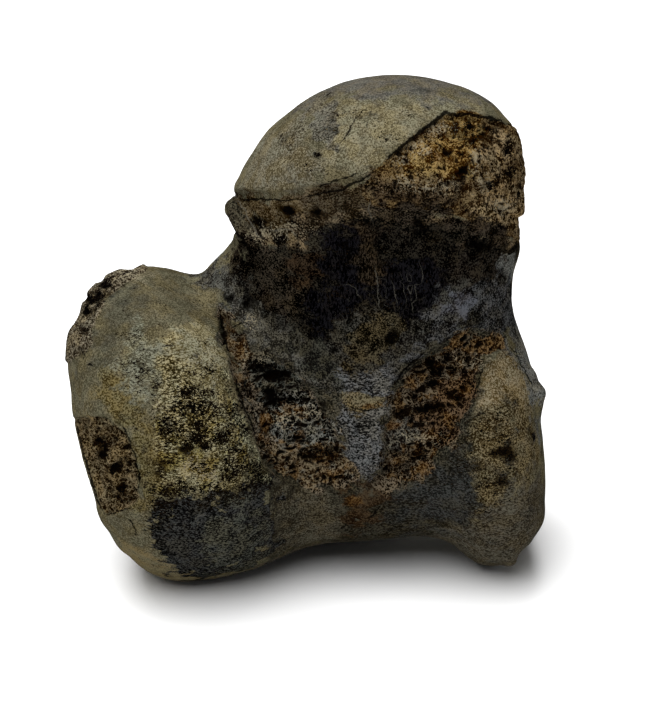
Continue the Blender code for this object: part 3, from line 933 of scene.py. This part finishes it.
def layers(surface, hollow):
    """What the material reads at each point: millimetres inside each stretch, and the rest."""
    found = stretch_depths(surface)
    for name, places in (("dark", DARK_SPOTS), ("pale", PALE_SPOTS), ("rust", RUST_SPOTS)):
        found[name + "_spots"] = surface.spots(places)
    found["behind"] = 1 - 2 * surface.front
    found["hollow"] = hollow
    found["specks"] = np.zeros(len(hollow))
    for thickness, outline in SPECKLED:
        found["specks"] = np.maximum(found["specks"], thickness * surface.patch(outline, soft=2.4))
    for name, table in (("dark", CRACK_AND_SHADOW_LINES), ("pale", SCRATCH_AND_HIGHLIGHT_LINES)):
        found[name + "_side"], found[name + "_width"] = surface.lines(table)
    return {name: np.clip(values, -FAR, FAR) for name, values in found.items()}


def nearest(points, wanted):
    """For each wanted point, which of the points is nearest."""
    tree = kdtree.KDTree(len(points))
    for index, point in enumerate(points):
        tree.insert(point, index)
    tree.balance()
    return np.array([tree.find(point)[1] for point in wanted])


def thin_out(piece, rough):
    """Fewer triangles, mostly where the surface is smooth."""
    triangles = 2 * len(piece.data.vertices)
    if triangles <= MOST_TRIANGLES:
        return
    plain = piece.vertex_groups.new(name="plain")
    for index, share in enumerate(1 - ROUGH_KEPT * rough):
        plain.add([index], share, "REPLACE")
    bake(
        piece, "DECIMATE", ratio=MOST_TRIANGLES / triangles, use_collapse_triangulate=True,
        vertex_group="plain", vertex_group_factor=1.0,
    )
    piece.vertex_groups.clear()


def dressed_bone(frame):
    piece = fine_copy(frame["nodes"]["ankle_bone"])
    points, normals = settle(read_points(piece.data), rounds=3)
    height, hollow, rough = relief(Surface(points, normals))
    points = points + normals * height[:, None]
    points[:, 2] = np.maximum(points[:, 2], 0)
    write_points(piece.data, points)
    thin_out(piece, rough)
    kept = read_points(piece.data)
    source = nearest(points, kept)
    for name, values in layers(Surface(kept, normals[source]), hollow[source]).items():
        layer = piece.data.attributes.new(name, "FLOAT", "POINT")
        layer.data.foreach_set("value", values.astype(np.float32))
    piece.data.transform(Matrix.Scale(MM, 4) @ Matrix.Translation(-Vector(ORIGIN)))
    piece.data.polygons.foreach_set("use_smooth", [True] * len(piece.data.polygons))
    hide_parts("ankle_bone")
    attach(piece, "root")
    return piece


# ---------------------------------------------------------------- material

# The numbers of a mix node's sockets, share first: for mixing colours and for mixing numbers.
COLOUR_SOCKETS = (0, 6, 7)
COLOUR_OUT = 2
NUMBER_SOCKETS = (0, 2, 3)

# Where a grain's darkest and lightest tones lie, and how strong the fine bump is and how high, in mm.
DARKEST_AT = 0.41
LIGHTEST_AT = 0.59
BUMP_STRENGTH = 0.7
BUMP_HEIGHT = 0.14

PERCENT = 0.01


def coloured(reflectance):
    """A colour given in percent of red, green and blue, as a shader takes it."""
    return [PERCENT * share for share in reflectance] + [1.0]


class Nodes:
    """Short names for the shader nodes that the material is made of."""

    def __init__(self, material):
        material.use_nodes = True
        self.tree = material.node_tree
        self.shader = self.tree.nodes["Principled BSDF"]
        self.place = self.add("ShaderNodeTexCoord").outputs["Object"]

    def add(self, kind, **settings):
        node = self.tree.nodes.new(kind)
        for name, value in settings.items():
            setattr(node, name, value)
        return node

    def put(self, socket, value):
        if isinstance(value, bpy.types.NodeSocket):
            self.tree.links.new(value, socket)
        else:
            socket.default_value = value

    def mask(self, name):
        return self.add("ShaderNodeAttribute", attribute_name=name).outputs["Fac"]

    def math(self, operation, *values, clamp=False):
        node = self.add("ShaderNodeMath", operation=operation, use_clamp=clamp)
        for socket, value in zip(node.inputs, values):
            self.put(socket, value)
        return node.outputs[0]

    def total(self, *weighted):
        """Sum of values, each with its weight."""
        result = 0.0
        for value, weight in weighted:
            result = self.math("MULTIPLY_ADD", value, weight, result)
        return result

    def noise(self, size, detail=3.0, rough=0.55, twist=0.0, stretch=(1, 1, 1), shift=0.0):
        """Noise from 0 to 1 whose swells are about size millimetres across."""
        place = self.add("ShaderNodeMapping")
        self.put(place.inputs["Vector"], self.place)
        place.inputs["Location"].default_value = [shift * MM] * 3
        place.inputs["Scale"].default_value = stretch
        node = self.add("ShaderNodeTexNoise")
        self.put(node.inputs["Vector"], place.outputs[0])
        node.inputs["Scale"].default_value = 1 / (size * MM)
        node.inputs["Detail"].default_value = detail
        node.inputs["Roughness"].default_value = rough
        node.inputs["Distortion"].default_value = twist
        return node.outputs["Fac"]

    def step(self, value, low, high, bottom=0.0, top=1.0):
        """Rises from bottom to top as the value goes from low to high."""
        node = self.add("ShaderNodeMapRange", interpolation_type="SMOOTHSTEP")
        self.put(node.inputs["Value"], value)
        for name, number in (("From Min", low), ("From Max", high), ("To Min", bottom), ("To Max", top)):
            self.put(node.inputs[name], number)
        return node.outputs["Result"]

    def bent_place(self, size, amount):
        """The place on the bone, pushed about by swells of this size, so that a pattern there wanders."""
        push = self.add("ShaderNodeCombineXYZ")
        for axis, shift in enumerate((200.0, 220.0, 240.0)):
            self.put(push.inputs[axis], self.noise(size, detail=2, rough=0.5, shift=shift))
        bent = self.add("ShaderNodeVectorMath", operation="MULTIPLY_ADD")
        self.put(bent.inputs[0], push.outputs[0])
        bent.inputs[1].default_value = [amount * MM] * 3
        self.put(bent.inputs[2], self.place)
        return bent.outputs[0]

    def net(self, place, size, thick, stretch=(1, 1, 1)):
        """1 on the thin walls between rounded cells about size millimetres across, 0 inside the cells."""
        scaled = self.add("ShaderNodeMapping")
        self.put(scaled.inputs["Vector"], place)
        scaled.inputs["Scale"].default_value = stretch
        cells = self.add("ShaderNodeTexVoronoi", feature="DISTANCE_TO_EDGE")
        self.put(cells.inputs["Vector"], scaled.outputs[0])
        cells.inputs["Scale"].default_value = 1 / (size * MM)
        return self.step(cells.outputs["Distance"], thick, 0.0)

    def tones(self, value, dark, middle, light):
        """Colours from dark to light, given in percent, as the value rises about 0.5."""
        node = self.add("ShaderNodeValToRGB")
        ramp = node.color_ramp
        ramp.elements[0].position = DARKEST_AT
        ramp.elements[0].color = coloured(dark)
        ramp.elements[1].position = LIGHTEST_AT
        ramp.elements[1].color = coloured(light)
        ramp.elements.new(0.5).color = coloured(middle)
        self.put(node.inputs["Fac"], value)
        return node.outputs["Color"]

    def mix(self, share, under, over, blend="MIX"):
        node = self.add("ShaderNodeMix", data_type="RGBA", blend_type=blend)
        for index, value in zip(COLOUR_SOCKETS, (share, under, over)):
            self.put(node.inputs[index], value)
        return node.outputs[COLOUR_OUT]


# A tone is a dark, a middle and a light colour, in percent. These lie under the stretches and over them.
TONES = {
    "base": ((3.6, 3.1, 1.8), (6.6, 5.8, 3.7), (11.0, 9.8, 6.5)),
    "back_ochre": ((3.2, 2.4, 0.8), (7.4, 5.9, 2.7), (12.6, 10.5, 5.5)),
    "back_slate": ((0.6, 0.6, 0.5), (2.0, 1.9, 1.6), (4.0, 3.8, 3.3)),
    "rust": ((0.6, 0.2, 0.03), (3.2, 1.5, 0.4), (10.5, 6.2, 2.5)),
    "ember": ((0.98, 0.28, 0.02), (4.2, 1.7, 0.28), (11.2, 6.4, 2.4)),
    "ash": ((0.12, 0.12, 0.1), (1.2, 1.15, 0.9), (10.5, 10.0, 8.4)),
}

# Plain colours, in percent.
BLACK = (0.09, 0.07, 0.06)
# Deep brown is painted shade for the spongy pits.
PIT_SHADE_BROWN = (0.3, 0.16, 0.07)
UMBER = (1.6, 0.9, 0.3)
CREAM = (20.0, 17.2, 11.5)
BONE_GREY = (8.5, 8.0, 6.4)

# The stretches in the order they are laid in: how far the edge breaks up and how softly it fades, both
# in millimetres, then the grain and its tone.
LAID = {
    "cap_left": (5.0, 0.9, "grain", (3.9, 3.2, 1.8), (8.0, 6.9, 4.7), (14.2, 13.0, 9.9)),
    "cap_pale": (5.0, 0.9, "grain", (5.1, 4.2, 2.4), (10.9, 9.7, 6.3), (16.5, 14.9, 10.4)),
    # Painted shade on the left lobe's outer shoulder.
    "lobe_shade": (5.0, 0.8, "grain", (2.9, 2.6, 1.6), (4.7, 4.2, 2.9), (7.4, 6.8, 4.8)),
    # Grey-brown top band of the cap, partly painted shade.
    "cap_band": (5.0, 1.0, "grain", (3.9, 3.6, 3.1), (6.1, 5.6, 4.8), (10.2, 9.3, 7.9)),
    "cap_grey": (5.0, 0.4, "grain", (1.7, 1.4, 0.88), (5.3, 4.9, 4.0), (12.5, 11.5, 9.2)),
    "lobe_pale": (6.0, 1.0, "streak", (1.1, 0.79, 0.21), (9.8, 7.9, 3.7), (23.9, 21.3, 13.8)),
    "lobe_yellow": (5.0, 0.9, "grain", (1.9, 1.3, 0.34), (5.7, 4.4, 1.8), (12.4, 10.3, 5.3)),
    "lobe_grey": (6.0, 0.8, "streak", (3.7, 3.3, 2.1), (8.4, 8.3, 6.0), (15.6, 15.2, 11.5)),
    "lobe_cream": (6.0, 0.9, "streak", (4.6, 3.7, 1.5), (11.6, 10.3, 6.3), (19.4, 17.9, 12.7)),
    "lobe_gold": (5.0, 0.5, "cloud", (1.1, 0.62, 0.08), (9.0, 6.5, 1.7), (22.0, 18.1, 7.6)),
    "facet": (3.5, 0.4, "grain", (3.8, 2.5, 0.9), (11.0, 8.3, 4.4), (18.5, 15.4, 10.5)),
    "lobe_brown": (6.0, 0.9, "grain", (1.2, 0.73, 0.24), (4.4, 3.3, 1.6), (13.8, 11.3, 6.9)),
    "middle": (4.0, 0.7, "cloud", (0.4, 0.36, 0.24), (2.0, 1.8, 1.3), (5.3, 4.7, 3.4)),
    "groove": (4.0, 0.5, "streak", (0.4, 0.32, 0.18), (1.3, 1.1, 0.76), (3.6, 3.2, 2.3)),
    "groove_left": (6.0, 0.9, "grain", (1.0, 0.81, 0.49), (3.4, 2.9, 2.0), (7.3, 6.4, 4.6)),
    "lobe_foot": (6.0, 1.0, "streak", (1.5, 1.2, 0.82), (4.8, 4.1, 2.9), (7.9, 7.0, 5.4)),
    "slate_low": (9.0, 2.6, "streak", (0.41, 0.4, 0.35), (1.3, 1.3, 1.2), (3.5, 3.5, 3.4)),
    "groove_rust": (7.0, 0.6, "cloud", (0.58, 0.27, 0.13), (2.0, 1.2, 0.6), (4.3, 2.9, 1.7)),
    "rim_tan": (4.0, 0.6, "grain", (5.7, 4.8, 2.9), (9.9, 7.8, 4.4), (12.8, 10.5, 6.0)),
    "stain": (7.0, 0.2, "streak", (0.08, 0.08, 0.07), (0.34, 0.32, 0.34), (3.5, 3.5, 3.4)),
    "stain_worn": (9.0, 0.4, "streak", (0.23, 0.22, 0.21), (0.9, 0.89, 0.78), (6.0, 6.0, 5.0)),
    "bowl": (4.0, 0.5, "cloud", (0.11, 0.09, 0.07), (0.72, 0.67, 0.56), (4.3, 4.0, 3.4)),
    "under": (4.0, 0.4, "cloud", (0.25, 0.16, 0.08), (3.1, 2.2, 1.3), (12.9, 9.8, 6.4)),
    "spur": (2.0, 0.2, "grain", (0.33, 0.28, 0.17), (2.0, 1.6, 1.1), (6.9, 6.0, 4.1)),
    "neck_dark": (5.0, 0.6, "cloud", (0.01, 0.01, 0.01), (0.17, 0.14, 0.13), (1.8, 1.5, 1.1)),
    "neck_umber": (6.0, 0.5, "cloud", (0.01, 0.01, 0.01), (0.09, 0.06, 0.04), (3.2, 2.5, 1.8)),
    "neck_olive": (6.0, 0.6, "cloud", (0.14, 0.09, 0.06), (0.74, 0.64, 0.5), (2.7, 2.5, 2.0)),
    "neck_flush": (5.0, 0.5, "cloud", (0.03, 0.01, 0.01), (0.41, 0.23, 0.14), (2.8, 1.8, 1.1)),
    "neck_rust": (6.0, 0.6, "cloud", (0.02, 0.01, 0.01), (0.24, 0.17, 0.13), (2.3, 1.9, 1.5)),
    "neck_blue": (7.0, 0.7, "steep", (0.01, 0.01, 0.01), (0.05, 0.04, 0.08), (0.59, 0.54, 0.67)),
    "neck_vein": (3.0, 0.5, "steep", (0.05, 0.03, 0.01), (0.55, 0.37, 0.23), (2.9, 2.1, 1.4)),
    # Painted sheen of grazing reflection down the neck's right edge.
    "edge_grey": (3.0, 0.3, "grain", (2.1, 2.0, 1.8), (5.7, 5.5, 5.1), (12.8, 12.6, 11.8)),
    # Painted sheen on the neck's two flares, and a painted highlight on the right one.
    "flare_left": (5.0, 0.5, "cloud", (0.61, 0.57, 0.44), (2.8, 2.6, 2.3), (8.6, 8.3, 7.3)),
    "flare_right": (6.0, 0.7, "cloud", (0.11, 0.1, 0.1), (0.93, 0.93, 0.93), (6.4, 6.3, 6.5)),
    "flare_deep": (6.0, 0.7, "cloud", (0.23, 0.19, 0.17), (0.83, 0.83, 0.68), (3.9, 3.7, 2.9)),
    "flare_bright": (5.0, 0.5, "cloud", (1.0, 0.93, 1.1), (4.8, 4.8, 5.6), (7.6, 7.7, 9.1)),
    # Painted sheen on the central strip.
    "strip": (4.0, 0.4, "streak", (0.26, 0.23, 0.22), (3.1, 3.1, 3.2), (10.3, 10.2, 10.4)),
    "bowl_brown": (6.0, 0.6, "cloud", (0.05, 0.04, 0.01), (0.73, 0.53, 0.28), (6.0, 4.8, 2.9)),
    "ochre_blob": (3.5, 0.4, "cloud", (0.6, 0.39, 0.15), (3.0, 2.2, 1.1), (12.4, 10.2, 6.3)),
    "under_rust": (5.0, 0.4, "cloud", (0.31, 0.21, 0.1), (2.0, 1.2, 0.58), (6.4, 5.2, 3.5)),
    "under_ochre": (5.0, 0.3, "cloud", (0.69, 0.34, 0.05), (3.6, 2.3, 0.93), (10.6, 8.4, 5.3)),
    "under_cream": (4.0, 0.2, "walls", (0.52, 0.28, 0.06), (1.6, 1.3, 0.7), (8.2, 7.1, 5.0)),
    "ledge": (3.0, 0.3, "grain", (0.93, 0.84, 0.37), (9.1, 8.4, 5.4), (30.5, 28.7, 18.9)),
    "left": (3.0, 0.2, "walls", (0.13, 0.05, 0.02), (1.2, 0.79, 0.41), (13.4, 10.7, 7.8)),
    "left_rust": (3.0, 0.3, "walls", (0.87, 0.35, 0.07), (3.3, 2.0, 0.92), (13.6, 10.6, 6.9)),
    "left_black": (5.0, 0.3, "walls", (0.08, 0.08, 0.08), (0.98, 0.94, 0.66), (6.4, 6.5, 5.7)),
    "left_grey": (5.0, 0.3, "walls", (0.02, 0.02, 0.02), (0.68, 0.52, 0.37), (11.6, 11.4, 10.4)),
    "left_brown": (4.0, 0.3, "walls", (0.05, 0.02, 0.01), (0.4, 0.22, 0.08), (3.0, 2.1, 1.3)),
    "left_ochre": (5.0, 0.4, "walls", (0.46, 0.15, 0.03), (3.4, 2.0, 0.87), (13.0, 10.0, 6.4)),
    "right": (3.5, 0.3, "walls", (0.15, 0.07, 0.02), (1.6, 0.89, 0.4), (10.0, 7.8, 5.4)),
    "right_gold": (5.0, 0.4, "walls", (0.37, 0.12, 0.02), (3.6, 1.7, 0.53), (13.3, 8.3, 3.9)),
    "right_grey": (5.0, 0.4, "walls", (0.18, 0.09, 0.08), (1.8, 1.5, 1.1), (7.8, 7.3, 6.3)),
    "right_rust": (5.0, 0.4, "walls", (0.08, 0.03, 0.01), (0.85, 0.37, 0.12), (9.2, 5.9, 3.5)),
    "break": (0.8, 0.08, "mesh", (0.61, 0.23, 0.04), (2.8, 1.4, 0.43), (13.0, 9.2, 4.7)),
    "break_gold": (6.0, 0.8, "mesh", (1.4, 0.42, 0.02), (6.0, 2.9, 0.44), (23.3, 16.0, 6.5)),
    "break_grey": (6.0, 0.6, "fibres", (0.43, 0.2, 0.03), (3.9, 2.2, 0.92), (17.7, 13.1, 7.6)),
    "break_dull": (6.0, 0.6, "mesh", (0.14, 0.06, 0.02), (1.0, 0.58, 0.24), (6.3, 4.3, 2.5)),
    "break_low": (6.0, 0.6, "fibres", (0.52, 0.21, 0.02), (4.1, 2.4, 0.84), (24.8, 17.9, 10.1)),
    "foot_of_break": (6.0, 0.9, "cloud", (0.02, 0.01, 0.01), (0.2, 0.13, 0.07), (3.8, 2.9, 2.1)),
    "pit": (1.2, 0.12, "walls", (0.53, 0.23, 0.04), (3.3, 2.1, 0.86), (14.0, 10.8, 6.4)),
    "chip": (1.2, 0.12, "walls", (1.0, 0.71, 0.39), (4.3, 3.3, 2.0), (15.0, 12.9, 9.5)),
    "channel": (1.2, 0.15, "walls", (0.7, 0.4, 0.1), (3.4, 2.2, 1.0), (9.0, 6.8, 3.8)),
}


def grains(n):
    """The kinds of fine pattern, each spread about 0.5. The last weight of each only centres it."""
    mottle = n.noise(1.4, rough=0.6)
    broad = n.noise(5.0, rough=0.5)
    fine = n.noise(0.22, detail=2, rough=0.8)
    streak = n.noise(0.24, detail=2, rough=0.8, stretch=(0.7, 0.9, 1.2))
    steep = n.noise(0.26, detail=2, rough=0.8, stretch=(1.3, 0.8, 0.55))
    cloud = n.noise(2.0, detail=5, rough=0.68)
    bent = n.bent_place(0.8, 1.8)
    walls = n.net(bent, 0.8, thick=0.16)
    mesh = n.net(bent, 0.52, thick=0.2)
    fibres = n.net(bent, 0.6, thick=0.2, stretch=(1.35, 1.0, 0.55))
    shared = n.total((mottle, 0.25), (broad, 0.2))
    found = {}
    for name, pattern in (("grain", fine), ("streak", streak), ("steep", steep)):
        found[name] = n.total((pattern, 1.2), (shared, 1.2), (1.0, -0.37))
    found["cloud"] = n.total((fine, 1.0), (cloud, 0.7), (1.0, -0.35))
    found["walls"] = n.total((walls, 0.2), (fine, 1.0), (mottle, 0.5), (1.0, -0.32))
    found["mesh"] = n.total((mesh, 0.12), (fine, 1.2), (mottle, 0.8), (1.0, -0.55))
    found["fibres"] = n.total((fibres, 0.13), (steep, 1.2), (mottle, 0.8), (1.0, -0.55))
    return found


def hidden_sides(n, colour, grain, streak):
    """Ochre and slate clouds and hairline cracks on the sides that the photograph doesn't show."""
    behind = n.step(n.mask("behind"), -0.6, 0.6)
    ochre = n.step(n.noise(10.0, detail=5, rough=0.6, shift=40.0), 0.50, 0.58)
    slate = n.step(n.noise(13.0, detail=5, rough=0.62, shift=90.0), 0.55, 0.61)
    colour = n.mix(n.math("MULTIPLY", ochre, behind), colour, n.tones(grain, *TONES["back_ochre"]))
    colour = n.mix(n.math("MULTIPLY", slate, behind), colour, n.tones(streak, *TONES["back_slate"]))
    apart = n.math("ABSOLUTE", n.math("SUBTRACT", n.noise(9.0, detail=5, shift=180.0), 0.5))
    cracked = n.step(n.noise(7.0, rough=0.5, shift=160.0), 0.52, 0.58, top=0.85)
    cracks = n.math("MULTIPLY", n.step(apart, 0.0035, 0.0015), n.math("MULTIPLY", cracked, behind))
    return n.mix(cracks, colour, coloured(BLACK))


def speckled(n, colour):
    """Small flat-lying dark specks, thicker where the specks mask is higher."""
    specks = n.noise(0.24, detail=2, rough=0.8, stretch=(0.55, 0.8, 1.35))
    clumps = n.noise(2.2, detail=2, rough=0.5, stretch=(0.6, 0.8, 1.2), shift=20.0)
    behind = n.step(n.mask("behind"), -0.2, 0.8, top=0.3)
    thick = n.math("MAXIMUM", n.mask("specks"), behind)
    cover = n.total((thick, 0.19), (clumps, 0.35), (specks, -1.0), (1.0, 0.128))
    colour = n.mix(n.step(cover, -0.04, 0.0, top=0.8), colour, coloured(UMBER))
    return n.mix(n.step(cover, 0.0, 0.02), colour, coloured(BLACK))


def lined(n, colour, name, line_colour, share, wander):
    """Thin lines, ragged along their edges."""
    side = n.total((wander, 1.0), (1.0, -0.5), (n.mask(name + "_side"), 1.0))
    depth = n.math("SUBTRACT", n.mask(name + "_width"), n.math("ABSOLUTE", side))
    return n.mix(n.step(depth, -0.05, 0.03, top=share), colour, coloured(line_colour))


def scratched(n, colour):
    """Hair-thin winding pale scratches on the neck."""
    swirls = n.noise(3.6, detail=2, rough=0.5, twist=0.9, stretch=(1.2, 1.0, 0.7))
    winding = n.math("PINGPONG", swirls, 0.07)
    hair = n.step(winding, 0.0022, 0.0006)
    broken = n.step(n.noise(1.3, rough=0.6, shift=60.0), 0.54, 0.6)
    where = n.step(n.mask("neck_dark"), -0.3, 0.6, top=0.22)
    share = n.math("MULTIPLY", n.math("MULTIPLY", hair, broken), where)
    return n.mix(share, colour, coloured(BONE_GREY))


def laid(n, colour, grain, fringe):
    """The stretches laid over each other in order, with the fringe noise breaking up their edges."""
    for name, (spread, soft, kind, *tone) in LAID.items():
        inside = n.total((n.mask(name), 1.0), (fringe, 2 * spread), (1.0, -spread))
        colour = n.mix(n.step(inside, -soft, soft), colour, n.tones(grain[kind], *tone))
    return colour


def bloomed(n, colour, grain):
    """Small blooms: rust on the two worn patches, ash on the left one, and yellow on the pale lobe."""
    spongy = n.step(n.math("MAXIMUM", n.mask("left"), n.mask("right")), 0.0, 0.6)
    rusty = n.math("SUBTRACT", spongy, n.step(n.mask("left_black"), -0.4, 0.4, top=0.8), clamp=True)
    ashen = n.step(n.mask("left"), 0, 0.6)
    yellowed = n.math("MULTIPLY", n.step(n.mask("lobe_pale"), -0.5, 1.0), n.step(n.mask("specks"), 0.5, 0.9))
    blooms = (
        (TONES["rust"], rusty, "walls", 110.0, 0.7), (TONES["ash"], ashen, "walls", 130.0, 0.6),
        (LAID["lobe_gold"][-3:], yellowed, "streak", 150.0, 0.8),
    )
    for tone, where, kind, shift, most in blooms:
        bloom = n.step(n.noise(1.5, rough=0.6, shift=shift), 0.53, 0.60, top=most)
        colour = n.mix(n.math("MULTIPLY", bloom, where), colour, n.tones(grain[kind], *tone))
    return colour


def embers(n, colour, grain, fringe):
    """Spots of bright rust."""
    ember = n.total((n.mask("rust_spots"), 1.0), (fringe, 5.0), (1.0, -2.5))
    return n.mix(n.step(ember, -0.2, 0.5, top=0.7), colour, n.tones(grain["walls"], *TONES["ember"]))


def tinted(n, colour):
    """The hue drifting a little between greenish and yellowish."""
    hue = n.noise(2.4, shift=70.0)
    tint = n.tones(hue, (97.0, 101.0, 97.0), (100.0, 100.0, 95.0), (104.0, 100.0, 84.0))
    return n.mix(1.0, colour, tint, "MULTIPLY")


def spotted(n, colour, grain, fringe):
    """Black blots and cream flecks at the small spots."""
    blot = n.total((n.mask("dark_spots"), 1.0), (fringe, 4.0), (grain["grain"], 3.0), (1.0, -3.62))
    colour = n.mix(n.step(blot, -0.12, 0.14), colour, coloured(BLACK))
    fleck = n.total((n.mask("pale_spots"), 1.0), (grain["walls"], 5.0), (1.0, -2.6))
    return n.mix(n.step(fleck, -0.1, 0.5, top=0.75), colour, coloured(CREAM))


def surfaced(n, colour, grain):
    """The colour on a shader that is dull all over, a little less so on light grains, and finely bumped."""
    n.put(n.shader.inputs["Base Color"], colour)
    # No reflection from the shader: the sheen on the flares, the strip and the neck's edge is painted into
    # the colour.
    n.shader.inputs["Specular IOR Level"].default_value = 0.0
    n.put(n.shader.inputs["Roughness"], n.step(grain, 0.38, 0.62, bottom=0.62, top=0.45))
    bump = n.add("ShaderNodeBump")
    bump.inputs["Strength"].default_value = BUMP_STRENGTH
    bump.inputs["Distance"].default_value = BUMP_HEIGHT * MM
    n.put(bump.inputs["Height"], grain)
    n.put(n.shader.inputs["Normal"], bump.outputs[0])


def bone_material():
    material = bpy.data.materials.new("weathered_bone")
    n = Nodes(material)
    grain = grains(n)
    fringe = n.noise(2.6, detail=6, rough=0.64, stretch=(0.8, 0.9, 1.15), shift=10.0)
    wander = n.noise(0.9, rough=0.6, shift=30.0)
    colour = n.tones(grain["grain"], *TONES["base"])
    colour = hidden_sides(n, colour, grain["grain"], grain["streak"])
    colour = laid(n, colour, grain, fringe)
    colour = bloomed(n, colour, grain)
    colour = embers(n, colour, grain, fringe)
    colour = tinted(n, colour)
    colour = scratched(n, colour)
    colour = spotted(n, colour, grain, fringe)
    colour = speckled(n, colour)
    # Dark lines: cracks, and painted shadow along the cap's edge, the spur, the ledge and the right patch.
    colour = lined(n, colour, "dark", BLACK, 0.9, wander)
    # Pale lines: scratches, and a painted highlight along the spur's ridge.
    colour = lined(n, colour, "pale", BONE_GREY, 0.45, wander)
    # Painted shade: the deepest spongy pits darkened toward deep brown.
    deep = n.step(n.mask("hollow"), 0.22, 0.6, top=0.92)
    colour = n.mix(deep, colour, coloured(PIT_SHADE_BROWN))
    surfaced(n, colour, grain["grain"])
    return material


# ---------------------------------------------------------------- floor, light and camera

FLOOR_SIZE = 6.0
PAPER = (90.0, 90.0, 90.0)


def to_frame(spot):
    """A place given in millimetres of the modelling frame, in metres of the CAD frame."""
    return Vector((np.array(spot, float) - ORIGIN) * MM)


def floor():
    bpy.ops.mesh.primitive_plane_add(size=FLOOR_SIZE)
    ground = bpy.context.object
    ground.name = "floor"
    material = bpy.data.materials.new("white_paper")
    material.use_nodes = True
    shader = material.node_tree.nodes["Principled BSDF"]
    shader.inputs["Base Color"].default_value = coloured(PAPER)
    shader.inputs["Roughness"].default_value = 0.9
    shader.inputs["Specular IOR Level"].default_value = 0.1
    ground.data.materials.append(material)


def soft_box():
    """A long soft panel overhead, reaching out in front of the bone and behind it."""
    data = bpy.data.lights.new("soft_box", "AREA")
    data.shape = "RECTANGLE"
    data.size = BOX_WIDTH
    data.size_y = BOX_LENGTH
    data.energy = BOX_POWER
    panel = bpy.data.objects.new("soft_box", data)
    panel.location = BOX_PLACE
    bpy.context.scene.collection.objects.link(panel)


def world():
    """A faint white surround that the camera sees as plain white."""
    made = bpy.data.worlds.new("studio")
    made.use_nodes = True
    tree = made.node_tree
    background = tree.nodes["Background"]
    background.inputs["Color"].default_value = (1, 1, 1, 1)
    ray = tree.nodes.new("ShaderNodeLightPath")
    choice = tree.nodes.new("ShaderNodeMix")
    factor, under, over = (choice.inputs[index] for index in NUMBER_SOCKETS)
    under.default_value = FILL_LIGHT
    over.default_value = 1.0
    tree.links.new(ray.outputs["Is Camera Ray"], factor)
    tree.links.new(choice.outputs[0], background.inputs["Strength"])
    bpy.context.scene.world = made
    bpy.context.scene.view_settings.view_transform = "Standard"


def camera():
    back, _ = view_axes()
    data = bpy.data.cameras.new("camera")
    data.lens = LENS
    data.sensor_width = SENSOR
    seen = bpy.data.objects.new("camera", data)
    seen.location = to_frame(TARGET + back * DISTANCE)
    seen.rotation_euler = (math.pi / 2 - ELEVATION, 0, 0)
    bpy.context.scene.collection.objects.link(seen)
    bpy.context.scene.camera = seen


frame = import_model()
bone = dressed_bone(frame)
bone.data.materials.clear()
bone.data.materials.append(bone_material())
floor()
world()
soft_box()
camera()
